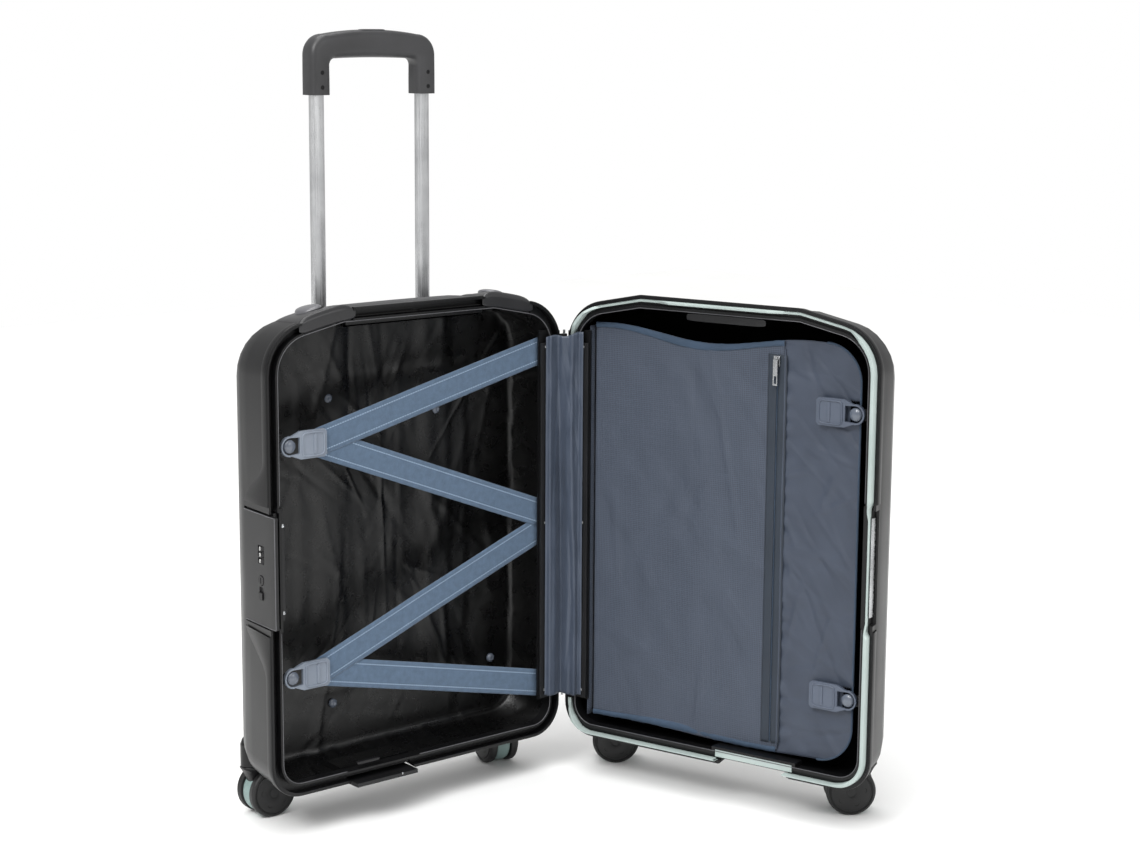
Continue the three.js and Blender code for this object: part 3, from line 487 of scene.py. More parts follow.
ALUMINIUM = metal("tube_aluminium", "#b9babc", "#dcddde", 0.30)
STEEL = metal("steel", "#8f9193", "#c4c6c8", 0.25, grain=(400, 400, 400))
WEBBING = webbing("webbing_blue", "#46596e", "#647b95", "#93a8bf", 0.015)
LINING = woven("lining_black", "#060606", "#0e0e0f", 0.0007, roughness=0.30, sheen=0.0, depth=0.04, cloud=14,
               specular=0.45)
SATIN = woven("divider_satin", "#343b48", "#464e5d", 0.0006, roughness=0.45, sheen=0.1, depth=0.05)
RIPSTOP = woven("divider_ripstop", "#353b47", "#464d5a", 0.0009, roughness=0.6, sheen=0.1, depth=0.08,
                grid=0.0021, grid_colour="#4c5564")
ELASTIC = woven("hem_elastic", "#2f3f50", "#41536a", 0.0013, roughness=0.7, sheen=0.1, depth=0.15)
GUSSET = woven("gusset_cloth", "#363e4b", "#4d5666", 0.0008, roughness=0.42, sheen=0.1, depth=0.05)
CAP_DISC = plastic("cap_disc_satin", "#4c4c4f", "#606064", 0.28, grain=3000, depth=0.01, coat=0.3)
ZIP_TAPE = woven("zip_tape", "#232a33", "#303945", 0.0008, roughness=0.6, sheen=0.1, depth=0.06)
DIGITS = plastic("dial_white", "#d8d8d6", "#efefed", 0.5)

# ---- hard parts carried over from the CAD --------------------------------------------------------------
CARRIED = {
    (SHELL, "shell_black", 0.5): ["rear_shell", "front_shell"],
    (TRIM, "trim_black", 0.25): [
        "hinge_rear_leaf", "hinge_front_leaf", "rear_gusset_strip", "front_gusset_strip", "trolley_base",
        "bottom_latch_bracket", "lock_base"],
    (TRIM, "trim_black", 0.8): ["trolley_bezel", "bottom_latch", "lock_lever"],
    (GASKET, "gasket_grey", 0.4): ["bottom_striker"],
    (STEEL, "steel", 0.2): ["hinge_pin", "lock_striker", "zip_slider", "zip_pull"],
    (ALUMINIUM, "tube_aluminium", 0.0): [
        "guide_tube_left", "guide_tube_right", "mid_tube_left", "mid_tube_right", "inner_tube_left",
        "inner_tube_right"],
    (TRIM, "trim_black", 0.2): ["key_cylinder", "lock_button", "lock_dial_1", "lock_dial_2", "lock_dial_3"],
    (BUCKLE, "buckle_grey", 0.5): ["buckle_upper", "buckle_lower"],
    (BUCKLE_DARK, "buckle_grey", 0.5): ["divider_buckle_upper", "divider_buckle_lower"],
}
for (finish, material_slot, edge), names in CARRIED.items():
    for node in names:
        moulding(node, finish, edge)


# ---- shell details -------------------------------------------------------------------------------------
BAND = ([0.8, 1.1, 1.8, 9.7, 10.2, 10.45, 10.6], [-0.1, 1.0, 1.35, 1.5, 1.35, 0.9, -0.1])


def away_from(ring, spans):
    """True for ring points that lie outside every (axis, low, high, other axis, limit, sense) span."""
    clear = np.ones(len(ring), bool)
    for axis, low, high, other, limit, sense in spans:
        clear &= ~((ring[:, axis] > low) & (ring[:, axis] < high) & (sense * ring[:, other] > sense * limit))
    return clear


def rim_band(name, place, body, half, side, depths, heights, spans, swept):
    """A raised band round a half's rim: at each depth the skin's own ring, lifted by a height, and cut away
    where the caps, the lock and the bottom latch interrupt it. swept mm is how far its back edge runs towards
    the lock's rear corner above and below the lock, as an S of the distance from the lock."""
    base = evenly(outline(0), 640)
    clear = away_from(base, spans)
    near_lock = np.clip((112 - np.abs(base[:, 1] - LOCK_MIDDLE)) / 50, 0, 1) * (base[:, 0] < -150)
    sweep = ease(near_lock)
    rings = []
    for depth, height in zip(depths, heights):
        deep = depth + swept * sweep * np.clip((depth - 3) / 6, 0, 1)
        insets = skin_inset(np.linspace(0, 60, 61), *half) - height
        stack = np.stack([evenly(outline(i, i * 0.2), 640) for i in insets])
        low = np.clip(deep.astype(int), 0, 59)
        share = (deep - low)[:, None]
        at = np.arange(640)
        ring = stack[low, at] * (1 - share) + stack[low + 1, at] * share
        rings.append(place(np.stack([ring[:, 0], side * deep, ring[:, 1]], 1)))
    keep = np.broadcast_to(clear & np.roll(clear, -1), (len(depths) - 1, 640))
    piece(name, np.stack(rings), body, SHELL, around=True, keep=keep, flip=side < 0)


CAP_CUTS = [(0, -148, -84, 1, 400, 1), (0, 84, 148, 1, 400, 1)]
LOCK_CUT, LATCH_CUT = (1, 222, 350, 0, -100, -1), (0, -95, -11, 1, 100, -1)
rim_band("rear_rim_band", rear, "rear_half", (REAR_DEPTH, REAR_ROUND), 1, *BAND,
         CAP_CUTS + [LOCK_CUT, LATCH_CUT], 42)
rim_band("front_rim_band", front, "front_half", (FRONT_DEPTH, FRONT_ROUND), -1, *BAND,
         [LOCK_CUT, LATCH_CUT], 0)
# A thin lighter grey rope just inside each half's rim, where the inner lip's edge catches the light: a
# painted highlight.
for side, place, body in ((1, rear, "rear_half"), (-1, front, "front_half")):
    ring = evenly(outline(12.9), 420)
    lip = tube(place(np.insert(ring, 1, side * 0.55, axis=1)), 0.00045, 8)
    latch_gap = [(0, -98, -8, 1, 70, -1)] if side > 0 else []
    clear = away_from(ring, [(1, 222, 350, 0, -150, -1)] + latch_gap)
    piece(f"{body}_lip_highlight_line", lip, body, LIP_HIGHLIGHT, around=True, along=True,
          keep=np.broadcast_to((clear & np.roll(clear, -1))[:, None], (420, 8)))


def bar(name, centre, half_size, body, finish, place=rear, power=6.0):
    """A small moulded bar: a superellipsoid, whose high power makes flat faces with rounded edges."""
    a, b = np.linspace(-math.pi / 2, math.pi / 2, 17), np.linspace(-math.pi, math.pi, 32, endpoint=False)
    a, b = np.meshgrid(a, b, indexing="ij")
    level = squarer(np.cos(a), 2 / power)
    p = np.stack([level * squarer(np.cos(b), 2 / power), level * squarer(np.sin(b), 2 / power),
                  squarer(np.sin(a), 2 / power)], -1)
    return piece(name, place(p * half_size + np.asarray(centre, float)), body, finish, around=True)


for i, y in enumerate((3.6, 5.3, 7.0, 8.8)):
    for k, x in enumerate((-42, 42)):
        bar(f"groove_rib_{i + 1}_{k + 1}", (x, y, 536.6), (40, 0.3, 0.5), "rear_half", DARK_TRIM)
bar("front_top_plate", (-9.5, -1.0, 527), (48, 0.9, 4), "front_half", TRIM, place=front)


def screw(name, axis, centre, body, place=rear, radius=2.4, finish=STEEL, proud=0.9):
    """A domed screw or rivet head: a shallow dome turned round its axis, with a slight rim and a dimple."""
    profile = [(0.0, proud - 0.35), (radius * 0.3, proud - 0.3), (radius * 0.42, proud),
               (radius * 0.8, proud * 0.75), (radius, proud * 0.2), (radius, -0.6), (0.0, -0.6)]
    piece(name, place(facing(lathe(profile, 24), axis, centre)), body, finish, around=True, flip=True)


for i, z in enumerate((484, 288, 97)):
    for side, place, body, way in ((1, rear, "rear_half", "-y"), (-1, front, "front_half", "y")):
        screw(f"{body}_strip_rivet_{i + 1}", way, (170, side * 0.9, z), body, place, 1.6, proud=0.5)
for i, z in enumerate((242, 332)):
    screw(f"lock_bar_screw_{i + 1}", "-y", (-173.1, 1.4, z), "rear_half", radius=2.0, proud=0.6)
bar("lock_inner_bar", (-173.2, 2.6, LOCK_MIDDLE), (2.6, 1.2, 52), "rear_half", TRIM)
bar("latch_inner_bar", (-70.5, 3.2, 64.6), (14.5, 2.2, 1.6), "rear_half", TRIM)


# ---- gasket --------------------------------------------------------------------------------------------
def gasket_seal():
    """Sealing strip in the front rim: a rounded tongue whose outer edge follows the case outline. It is full
    on the lock side, slimmer on top and a thin bead along the bottom. It sinks below the rim at the lock and
    under the handle caps, and stops at the bottom latch and the hinge, so that the case can shut."""
    count = 900
    path = evenly(outline(0), count)
    x, z = path[:, 0], path[:, 1]
    lock_side = ease(np.clip((-x - 150) / 30, 0, 1))
    top = ease(np.clip((z - 500) / 30, 0, 1))
    width = 4.6 * lock_side + (1 - lock_side) * (3.0 * top + 1.7 * (1 - top))
    width = np.maximum(width, 4.2 * ease(np.clip((x - 160) / 20, 0, 1)))
    at_lock = ease(np.clip((73 - np.abs(z - LOCK_MIDDLE)) / 8, 0, 1)) * (x < -150)
    start = 3.3 + 3.6 * at_lock
    width = width * (1 - at_lock) + 2.2 * at_lock
    height = np.full(count, 6.2)
    height[((x < -150) & (z > 221) & (z < 351)) | ((x > 150) & (z > 62) & (z < 502))] = -0.5
    height[(np.abs(x) > 70) & (np.abs(x) < 163) & (z > 400)] = -1.6
    smooth = np.ones(9) / 9
    height = np.convolve(np.concatenate([height[-4:], height, height[:4]]), smooth, "valid")
    gone = ((x > 150) & (z > 84) & (z < 481)) | ((z < 60) & (x > -95) & (x < -11))
    section = [(0, -3.4), (0, 0.86), (0.12, 0.97), (0.5, 1.0), (0.88, 0.97), (1.0, 0.86), (1.0, -3.4)]
    stack = np.stack([evenly(outline(i), count) for i in np.linspace(3.3, 9.2, 13)])
    at = np.arange(count)
    rings = []
    for share, up in section:
        inset = start + share * width
        step = (inset - 3.3) / (5.9 / 12)
        low = np.clip(step.astype(int), 0, 11)
        part = (step - low)[:, None]
        ring = stack[low, at] * (1 - part) + stack[low + 1, at] * part
        y = np.full(count, -3.4) if up < 0 else np.where(height > 0, height * up, height - (1 - up) * 2)
        rings.append(np.stack([ring[:, 0], y, ring[:, 1]], 1))
    keep = np.broadcast_to(~(gone | np.roll(gone, -1))[None, :], (len(section) - 1, count))
    seal = piece("gasket_seal", front(np.stack(rings)), "front_half", GASKET, around=True,
                 keep=keep)
    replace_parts(seal, "gasket")


gasket_seal()


# ---- carry handle --------------------------------------------------------------------------------------
def handle_strap():
    """The handle's grip: an oval section carried along x, thinner towards its ends and slightly crowned."""
    x = np.linspace(-82.4, 82.4, 60)
    turn = np.linspace(0, 2 * math.pi, 32, endpoint=False)
    ends = np.clip((np.abs(x) - 70) / 12.4, 0, 1)
    half_width = 13.0 - 2.2 * ends ** 2
    half_thick = 2.9 - 0.9 * ends
    centre = 540.6 + 0.6 * np.cos(x / 82.4 * math.pi / 2)
    c, s = squarer(np.cos(turn), 2 / 3.2), squarer(np.sin(turn), 2 / 3.2)
    p = joined(x[:, None], 37 + half_width[:, None] * c, centre[:, None] + half_thick[:, None] * s)
    return piece("carry_handle_grip", rear(p), "carry_strap", GRIP, around=True, caps=True,
                 flip=True)


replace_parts(handle_strap(), "carry_handle")


def cap_skin(x, y):
    """Height of the case's top skin at (x, y): level, falling past the shoulder, drawn in at the back."""
    over = np.abs(x) - TOP_FLAT
    past = 0.5 * (over + np.sqrt(over ** 2 + 60))
    return TOP - skin_inset(y, REAR_DEPTH, REAR_ROUND) - past * math.tan(SHOULDER)


def cap_pad(side):
    """Cap over a handle end: walked from the hanging front edge, over the rim and back along the skin. It
    stands 6 mm proud in the middle and thins to wings at both ends; its ends are swept in an S."""
    name = "right" if side > 0 else "left"
    s = np.linspace(-1, 1, 81)
    t = np.linspace(0, 1, 60)[:, None]
    front_drop = np.clip(1 - t / 0.16, 0, 1)
    y = 0.8 + 63.5 * np.clip((t - 0.10) / 0.90, 0, 1) ** 1.05
    wing = 7.0 * np.clip(1 - y / 34, 0, 1) ** 1.5
    middle = 116 + 2.0 * np.sin(y / 64 * math.pi)
    half = 27.5 + wing - 4.0 * np.clip(y / 64, 0, 1) ** 3
    x = side * (middle + half * s)
    fade = (1 - np.abs(s) ** 5) ** 0.7
    back_fade = (1 - np.clip((y - 44) / 20.4, 0, 1) ** 3) ** 0.6
    proud = 6.4 - 3.2 * np.clip((y - 14) / 40, 0, 1)
    rise = -0.5 + proud * fade * back_fade * (0.86 + 0.14 * np.cos(s * 1.2))
    z = cap_skin(x, y) + rise - 1.6 * front_drop - 15.5 * front_drop ** 1.4 * (0.35 + 0.65 * fade)
    y = y - 0.1 * front_drop
    pad = piece(f"handle_cap_{name}", rear(joined(x, y, z)), "rear_half", CAP, flip=side < 0)
    thicken(pad, 1.2, -1.0)
    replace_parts(pad, f"handle_base_{name}")
    x0, y0 = side * 118.0, 33.0
    ring = np.linspace(0, 2 * math.pi, 48, endpoint=False)
    shares = np.array([0.0, 0.3, 0.6, 0.8, 0.93, 1.0, 1.0])[:, None]
    lift = np.array([10.2, 10.1, 9.7, 9.0, 8.2, 7.0, 2.0])[:, None]
    x, y = x0 + 12.5 * shares * np.cos(ring), y0 + 15.5 * shares * np.sin(ring)
    p = np.stack([x, y, cap_skin(x, y) + lift - 0.5], -1)
    piece(f"handle_disc_{name}", rear(p), "rear_half", CAP_DISC, around=True, flip=True)
    a = np.linspace(-0.75 * math.pi, 0.15 * math.pi, 30)
    x, y = x0 + 13.6 * np.cos(a), y0 + 16.6 * np.sin(a)
    taper = np.clip(np.sin(np.linspace(0, math.pi, 30)), 0.08, 1) ** 0.5
    rope(f"handle_crescent_{name}", rear(joined(x, y, cap_skin(x, y) + 5.3)), 0.0013 * taper, "rear_half",
         DARK_TRIM, 10)


for side in (-1, 1):
    cap_pad(side)


# ---- lining of the rear half ---------------------------------------------------------------------------
def lining():
    """Cloth tray inside the rear half: rings of the shell's inner skin from the rim to the back, then rings
    that shrink to the middle of the back. Boxes for the lock, latch and handle well push it inwards, and
    creases stand off it along the wall's inward direction."""
    count, offset = 520, 4.0
    turn_in = 66 + 4.4 * np.sin(np.linspace(0.12, 1, 8) * math.pi / 2)
    depth = np.concatenate([np.linspace(14.9, 66, 34), turn_in])
    rings, stations = [], []
    for d in depth:
        extra = offset if d > REAR_DEPTH - REAR_ROUND else 0.0
        inset = float(skin_inset(d + extra, REAR_DEPTH, REAR_ROUND)) + offset
        curl = 0.0 if d < 66 else 6.0 * (1 - math.sqrt(max(0.0, 1 - ((d - 66) / 4.4) ** 2)))
        ring = evenly(outline(inset + curl, offset + inset * 0.2 + curl), count)
        rings.append(np.insert(ring, 1, d, axis=1))
        stations.append(d)
    last = rings[-1]
    middle = np.array([0, 70.4, 292.0])
    for share in 1 - np.linspace(0, 1, 46)[1:]:
        rings.append(middle + (last - middle) * share)
        stations.append(70.4 + (1 - share) * 190)
    p = np.stack(rings)
    angle = np.arctan2(p[..., 2] - 292, p[..., 0])
    v = np.broadcast_to(np.asarray(stations)[:, None], angle.shape) / 100
    flat = np.clip((np.asarray(stations) - 64) / 8, 0, 1)[:, None]
    u = p[..., 0] / 100
    w = p[..., 2] / 100
    back = 1.7 * ripple(u, w, 5, 60, 0.045, 0.9, math.pi / 2, 0.4, ((-1.7, 1.7), (0.6, 5.2)))
    back += 1.0 * ripple(u, w, 6, 70, 0.022, 0.30, 0.9, 1.2, ((-1.7, 1.7), (0.6, 5.2)))
    panel = np.clip(np.minimum(1.15 - np.abs(u), 1.75 - np.abs(w - 2.95)) / 0.06, 0, 1)
    back += 1.4 * panel - 0.4
    tubes = np.exp(-((np.abs(u) - 0.675) / 0.2) ** 4) * np.clip((w - 1.0) / 0.3, 0, 1)
    back += 2.6 * tubes
    along = np.arange(count) / count * 18.0
    along = np.broadcast_to(along[None, :], angle.shape)
    wall = 1.6 * ripple(along, v, 8, 150, 0.05, 0.5, math.pi / 2, 0.45, ((0, 18), (0.15, 0.8)))
    edge = np.clip((np.asarray(stations) - 14.9) / 6, 0, 1)[:, None]
    inward = np.stack([-p[..., 0], np.zeros_like(u), 292 - p[..., 2]], -1)
    inward /= np.maximum(np.linalg.norm(inward, axis=-1, keepdims=True), 1e-6)
    p = p + inward * ((1 - flat) * edge * np.clip(wall + 0.5, -0.3, 2.6))[..., None]
    p[..., 1] -= flat * np.clip(back + 0.6, -0.2, 5.6)
    x, y, z = p[..., 0], p[..., 1], p[..., 2]
    p[..., 0] = np.where((x < -173.0) & (y < 60.5) & (z > 219) & (z < 353), -173.0, x)
    p[..., 2] = np.where((x > -99) & (x < -7) & (y < 47) & (z < 58.9), 58.9, p[..., 2])
    p[..., 2] = np.where((np.abs(x) < 90.2) & (y < 66.4) & (z > 524.8), 524.8, p[..., 2])
    uv = np.stack([along * 0.1, v * 0.1], -1)
    tray = piece("rear_lining_cloth", rear(p), "rear_half", LINING, around=True, uv=uv)
    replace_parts(tray, "rear_lining")


lining()
for i, (x, z) in enumerate(((-72, 443), (69, 417), (-70, 112), (145, 124))):
    screw(f"lining_snap_{i + 1}", "-y", (x, 67.6, z), "rear_half", radius=5.0, finish=KNOB,
          proud=3.2)


# ---- straps --------------------------------------------------------------------------------------------
def strap(name, upper_end, buckle_z, lower_end, y):
    """V-shaped webbing strap: one tape from the hinge side to the buckle and back, its middle line a straight
    leg, a tight turn in the buckle's bar and the other leg, with a little slack between the ends."""
    tip = np.array([-122.0, buckle_z])
    legs = []
    for end in (upper_end, lower_end):
        whole = np.array([190.0, end]) - tip
        stop = (174 - tip[0]) / whole[0]
        legs.append(tip + np.linspace(0, stop, 60)[:, None] * whole)
    for which, line in zip(("upper", "lower"), legs):
        along = np.linalg.norm(line - line[0], axis=1)
        ahead = (line[-1] - line[0]) / along[-1]
        across = np.linspace(-15, 15, 15)
        x = line[:, :1] - ahead[1] * across
        z = line[:, 1:] + ahead[0] * across
        share = along / along[-1]
        sag = 1.1 * np.sin(share * math.pi)[:, None] + 0.25 * np.sin(share * 17)[:, None] * (across / 15) ** 2
        turn_in = np.clip(1 - share[:, None] * 12, 0, 1) * (1.6 if which == "upper" else 0.6)
        depth = y + sag + 0.25 * (across / 15) ** 2 + turn_in * 0.3 + (0.9 if which == "lower" else 0.0)
        tape = piece(f"{name}_{which}_leg", rear(joined(x, depth, z)), "rear_half", WEBBING,
                     uv=joined(across, along[:, None]) * 0.001)
        thicken(tape, 0.8)
        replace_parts(tape, name)


REAR_KNOBS = (("upper", 410), ("lower", 169))
FRONT_KNOBS = (("upper", 441), ("lower", 140))
strap("strap_upper", 484, 410, 290, 11.2)
strap("strap_lower", 286, 169, 98, 12.6)


def knob(node, side, place, body, z, near, far, finish):
    """Mushroom knob on a flat bracket: a domed head turned round y, on a neck, and a bar back to the wall."""
    profile = [(0.0, 1.3), (2.5, 1.15), (4.8, 0.55), (6.4, -0.5), (7.0, -1.6), (7.0, -2.6), (5.6, -3.2),
               (5.4, -(far - near)), (0.0, -(far - near))]
    way = "-y" if side > 0 else "y"
    turned = facing(lathe(profile, 40), way, (KNOB_X, side * near, z))
    head = piece(f"{node}_head", place(turned), body, finish, around=True, flip=True)
    mid = side * (far - 1.0)
    foot = bar(f"{node}_bracket", ((KNOB_X - 177.0) / 2, mid, z), ((KNOB_X + 177.0) / 2 + 1.0, 1.0, 6), body,
               DARK_TRIM, place)
    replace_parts(head, node)
    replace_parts(foot, node)


for which, z in REAR_KNOBS:
    knob(f"rear_knob_{which}", 1, rear, "rear_half", z, 6.9, 14.2, KNOB)
for which, z in FRONT_KNOBS:
    knob(f"front_knob_{which}", -1, front, "front_half", z, 7.9, 14.7, KNOB)


def buckle_frame(name, z, y, side, place, body, finish):
    """Raised border and bar on a buckle's square end: a rounded rectangle of tube, and a flat bar across."""
    turn = np.linspace(0, 2 * math.pi, 56, endpoint=False)
    p = joined(-130.5 + 13.2 * squarer(np.cos(turn), 0.32), y, z + 12.0 * squarer(np.sin(turn), 0.32))
    border = tube(place(np.concatenate([p, p[:1]])), 0.0011, 10)
    piece(f"{name}_border", border, body, finish, around=True)
    bar(f"{name}_bar", (-128.5, y - side * 0.1, z), (1.8, 0.9, 10.5), body, finish, place)


for which, z in REAR_KNOBS:
    buckle_frame(f"buckle_{which}", z, 7.6, 1, rear, "rear_half", BUCKLE)
for which, z in FRONT_KNOBS:
    buckle_frame(f"divider_buckle_{which}", z, -8.7, -1, front, "divider", BUCKLE_DARK)


# ---- divider -------------------------------------------------------------------------------------------
def panel_edges(x):
    """Bottom and top edge of the divider at x: level with a slow wave, round at the free corners."""
    u = np.clip((162.8 - x) / 284.8, 0, 1)
    top = 509.0 - 7.0 * np.sin(np.pi * u) ** 2 + 3.0 * np.sin(2.6 * np.pi * u + 0.5)
    low = 67.0 + 1.5 * np.sin(2.2 * np.pi * u)
    into = np.clip((-162 + 40 - x) / 40, 0, 1)
    drop = 40 * (1 - np.sqrt(1 - into ** 2))
    return low + drop, top - drop


def field(x0, x1, columns, rows, lift):
    """A flat field of the divider between two heights in x, its rows spread from the bottom to the top edge;
    lift gives how far it stands forward from (x, z)."""
    share = np.linspace(0, 1, columns)
    x = x0 + (x1 - x0) * (1 - np.cos(share * math.pi / 2)) if x0 < -150 else x0 + (x1 - x0) * share
    low, high = panel_edges(x)
    t = np.linspace(0, 1, rows)[:, None]
    z = low + (high - low) * t
    x = np.broadcast_to(x, z.shape)
    return np.stack([x, lift(x, z), z], -1), np.stack([x, z], -1) * 0.001


def divider():
    def satin_lift(x, z):
        gathers = 0.8 * np.sin(z / 3.1 + 1.5 * np.sin(z / 17)) * np.exp(-((x + 74) / 9) ** 2)
        return -16.5 + gathers + 1.3 * np.clip(ripple(x / 100, z / 100, 21, 90, 0.035, 0.35, 0.5, 0.7,
                                                      ((-1.7, -0.6), (0.6, 5.1))), -0.7, 1.0)

    def mesh_lift(x, z):
        middle = np.sin(np.clip((x + 73) / 236, 0, 1) * math.pi)
        return -16.3 + 0.5 * middle + 1.1 * np.clip((162.6 - x) / 20, 0, 1) * np.clip(
            ripple(x / 100, z / 100, 31, 60, 0.08, 0.8, 1.2, 0.7, ((-0.7, 1.7), (0.6, 5.1))), -0.8, 1.0)

    grid, uv = field(-162, -72, 70, 180, satin_lift)
    satin = piece("divider_satin_field", front(grid), "divider", SATIN, uv=uv,
                  keep=~((grid[:-1, :-1, 0] < -150) & ((np.abs(grid[:-1, :-1, 2] - 441) < 11)
                                                       | (np.abs(grid[:-1, :-1, 2] - 140) < 11))))
    thicken(satin, 0.7)
    grid, uv = field(-72, 162.6, 160, 200, mesh_lift)
    mesh = thicken(piece("divider_mesh_field", front(grid), "divider", RIPSTOP, uv=uv), 0.7)
    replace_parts(satin, "divider_panel")
    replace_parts(mesh, "divider_panel")


divider()
z = np.linspace(67, 507, 60)[:, None]
y = np.linspace(-8.0, -18.2, 9)
margin = joined(165.2 + 0.2 * np.sin(z / 30), y, z)
margin_cloth = piece("divider_hinge_margin", front(margin), "front_half", RIPSTOP,
                     uv=margin[..., 1:] * 0.001)
thicken(margin_cloth, 0.5)


def hem(name, end):
    """Gathered elastic hem along the top or bottom of the mesh field: a band 10 mm wide whose middle stands
    forward, rippled by the gathers."""
    x = np.linspace(-72, 162, 420)
    low, high = panel_edges(x)
    edge = high if end > 0 else low
    t = np.linspace(0, 1, 9)
    inward = -end * (7.0 + 1.5 * np.sin(x / 31)) * t[:, None]
    gathers = np.sin(x / 2.1) * 0.22 + np.sin(x / 5.3 + 1) * 0.18
    z = edge + inward + gathers * (1 - t[:, None]) * 0.8 * end
    y = -15.3 + 0.9 * np.sin(t * math.pi)[:, None] + gathers * np.sin(t * math.pi)[:, None] * 0.8
    p = joined(x, y, z)
    band = thicken(piece(name, front(p), "divider", ELASTIC, uv=p[..., ::2] * 0.001), 0.6)


hem("divider_top_hem", 1)
hem("divider_bottom_hem", -1)
z = np.linspace(70, 500, 200)
piping = front(joined(-73.5 + 0.3 * np.sin(z / 40), -14.9, z))
rope("divider_piping", piping, 0.0011, "divider", SATIN, 10)
free_x = np.concatenate([-122 - 40 * np.sin(np.linspace(0, math.pi / 2, 30)), np.full(60, -162.0),
                         -122 - 40 * np.cos(np.linspace(0, math.pi / 2, 30))])
low, high = panel_edges(free_x)
free_z = np.concatenate([low[:30], np.linspace(low[30], high[30], 60), high[-30:]])
binding = front(joined(free_x + 0.6, -16.2, free_z))
rope("divider_free_binding", binding, 0.0012, "divider", ELASTIC, 10)


def zipper():
    """Two tapes either side of the line of teeth, and the teeth as a fine rope whose width beats once a
    tooth."""
    z = np.linspace(76, 494, 120)
    for which, x0, x1 in (("hinge", ZIP_X + 1, ZIP_X + 11), ("free", ZIP_X - 11, ZIP_X - 1)):
        x = np.linspace(x0, x1, 7)
        p = joined(x, -14.5, z[:, None])
        tape = thicken(piece(f"zipper_tape_{which}", front(p), "divider", ZIP_TAPE,
                             uv=p[..., ::2] * 0.001), 0.7)
        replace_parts(tape, "zipper_tape")
    z = np.linspace(78, 480, 2400)
    width = 0.00055 + 0.00018 * np.sign(np.sin(z * 2 * math.pi / 1.5))
    rope("zipper_teeth", front(joined(ZIP_X, -14.45, z)), width, "divider", ELASTIC)


zipper()


# ---- hinge gusset --------------------------------------------------------------------------------------
def gusset():
    """Cloth that closes the hinge side: a band from the rear strip to the front strip, in soft upright folds,
    with a slightly ragged top edge."""
    a, b = rear([169, 0.2, 0])[:2], front([169, -0.2, 0])[:2]
    t = np.linspace(0, 1, 60)
    z = np.linspace(91, 497, 140)[:, None]
    across = b - a
    out = np.array([-across[1], across[0]]) / np.linalg.norm(across)
    dip = np.exp(-((z - 497) / 70) ** 2) * np.exp(-((t - 0.42) / 0.10) ** 2)
    middle = 0.5 + 0.05 * np.sin(z / 90)
    fold = (0.010 * np.exp(-((t - middle + 0.08) / 0.15) ** 2)
            - 0.004 * np.exp(-((t - middle - 0.25) / 0.07) ** 2)
            - 0.004 * np.exp(-((t - 0.12) / 0.06) ** 2) + 0.004 * np.exp(-((t - 0.9) / 0.06) ** 2)
            ) * np.sin(t * math.pi) ** 0.3 - 0.009 * dip
    fold = fold + 0.0012 * np.sin(t * 6 * math.pi + 0.5 * np.sin(z / 70)) * np.sin(t * math.pi) ** 0.5
    fold = fold + 0.0008 * ripple(*np.broadcast_arrays(t * 0.4, z / 100), 44, 30, 0.02, 0.8, math.pi / 2,
                                  0.15, ((0, 0.4), (0.9, 5)))
    line = a + across * t[:, None]
    top = z + (t - 0.5) * 5 * ((z - 91) / 406) + 1.5 * np.sin(t * 9) * ((z - 91) / 406)
    p = np.stack([line[:, 0] + out[0] * fold, line[:, 1] + out[1] * fold, top * 0.001], -1)
    length = float(np.linalg.norm(across))
    cloth = piece("hinge_gusset_cloth", p, None, GUSSET, uv=joined(t * length, z * 0.001))
    thicken(cloth, 0.7)
    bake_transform(cloth, "rear_half", "front_half", start=tuple(float(k) for k in (*a, 0.29)),
             end=tuple(float(k) for k in (*b, 0.29)))
    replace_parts(cloth, "hinge_gusset")


gusset()


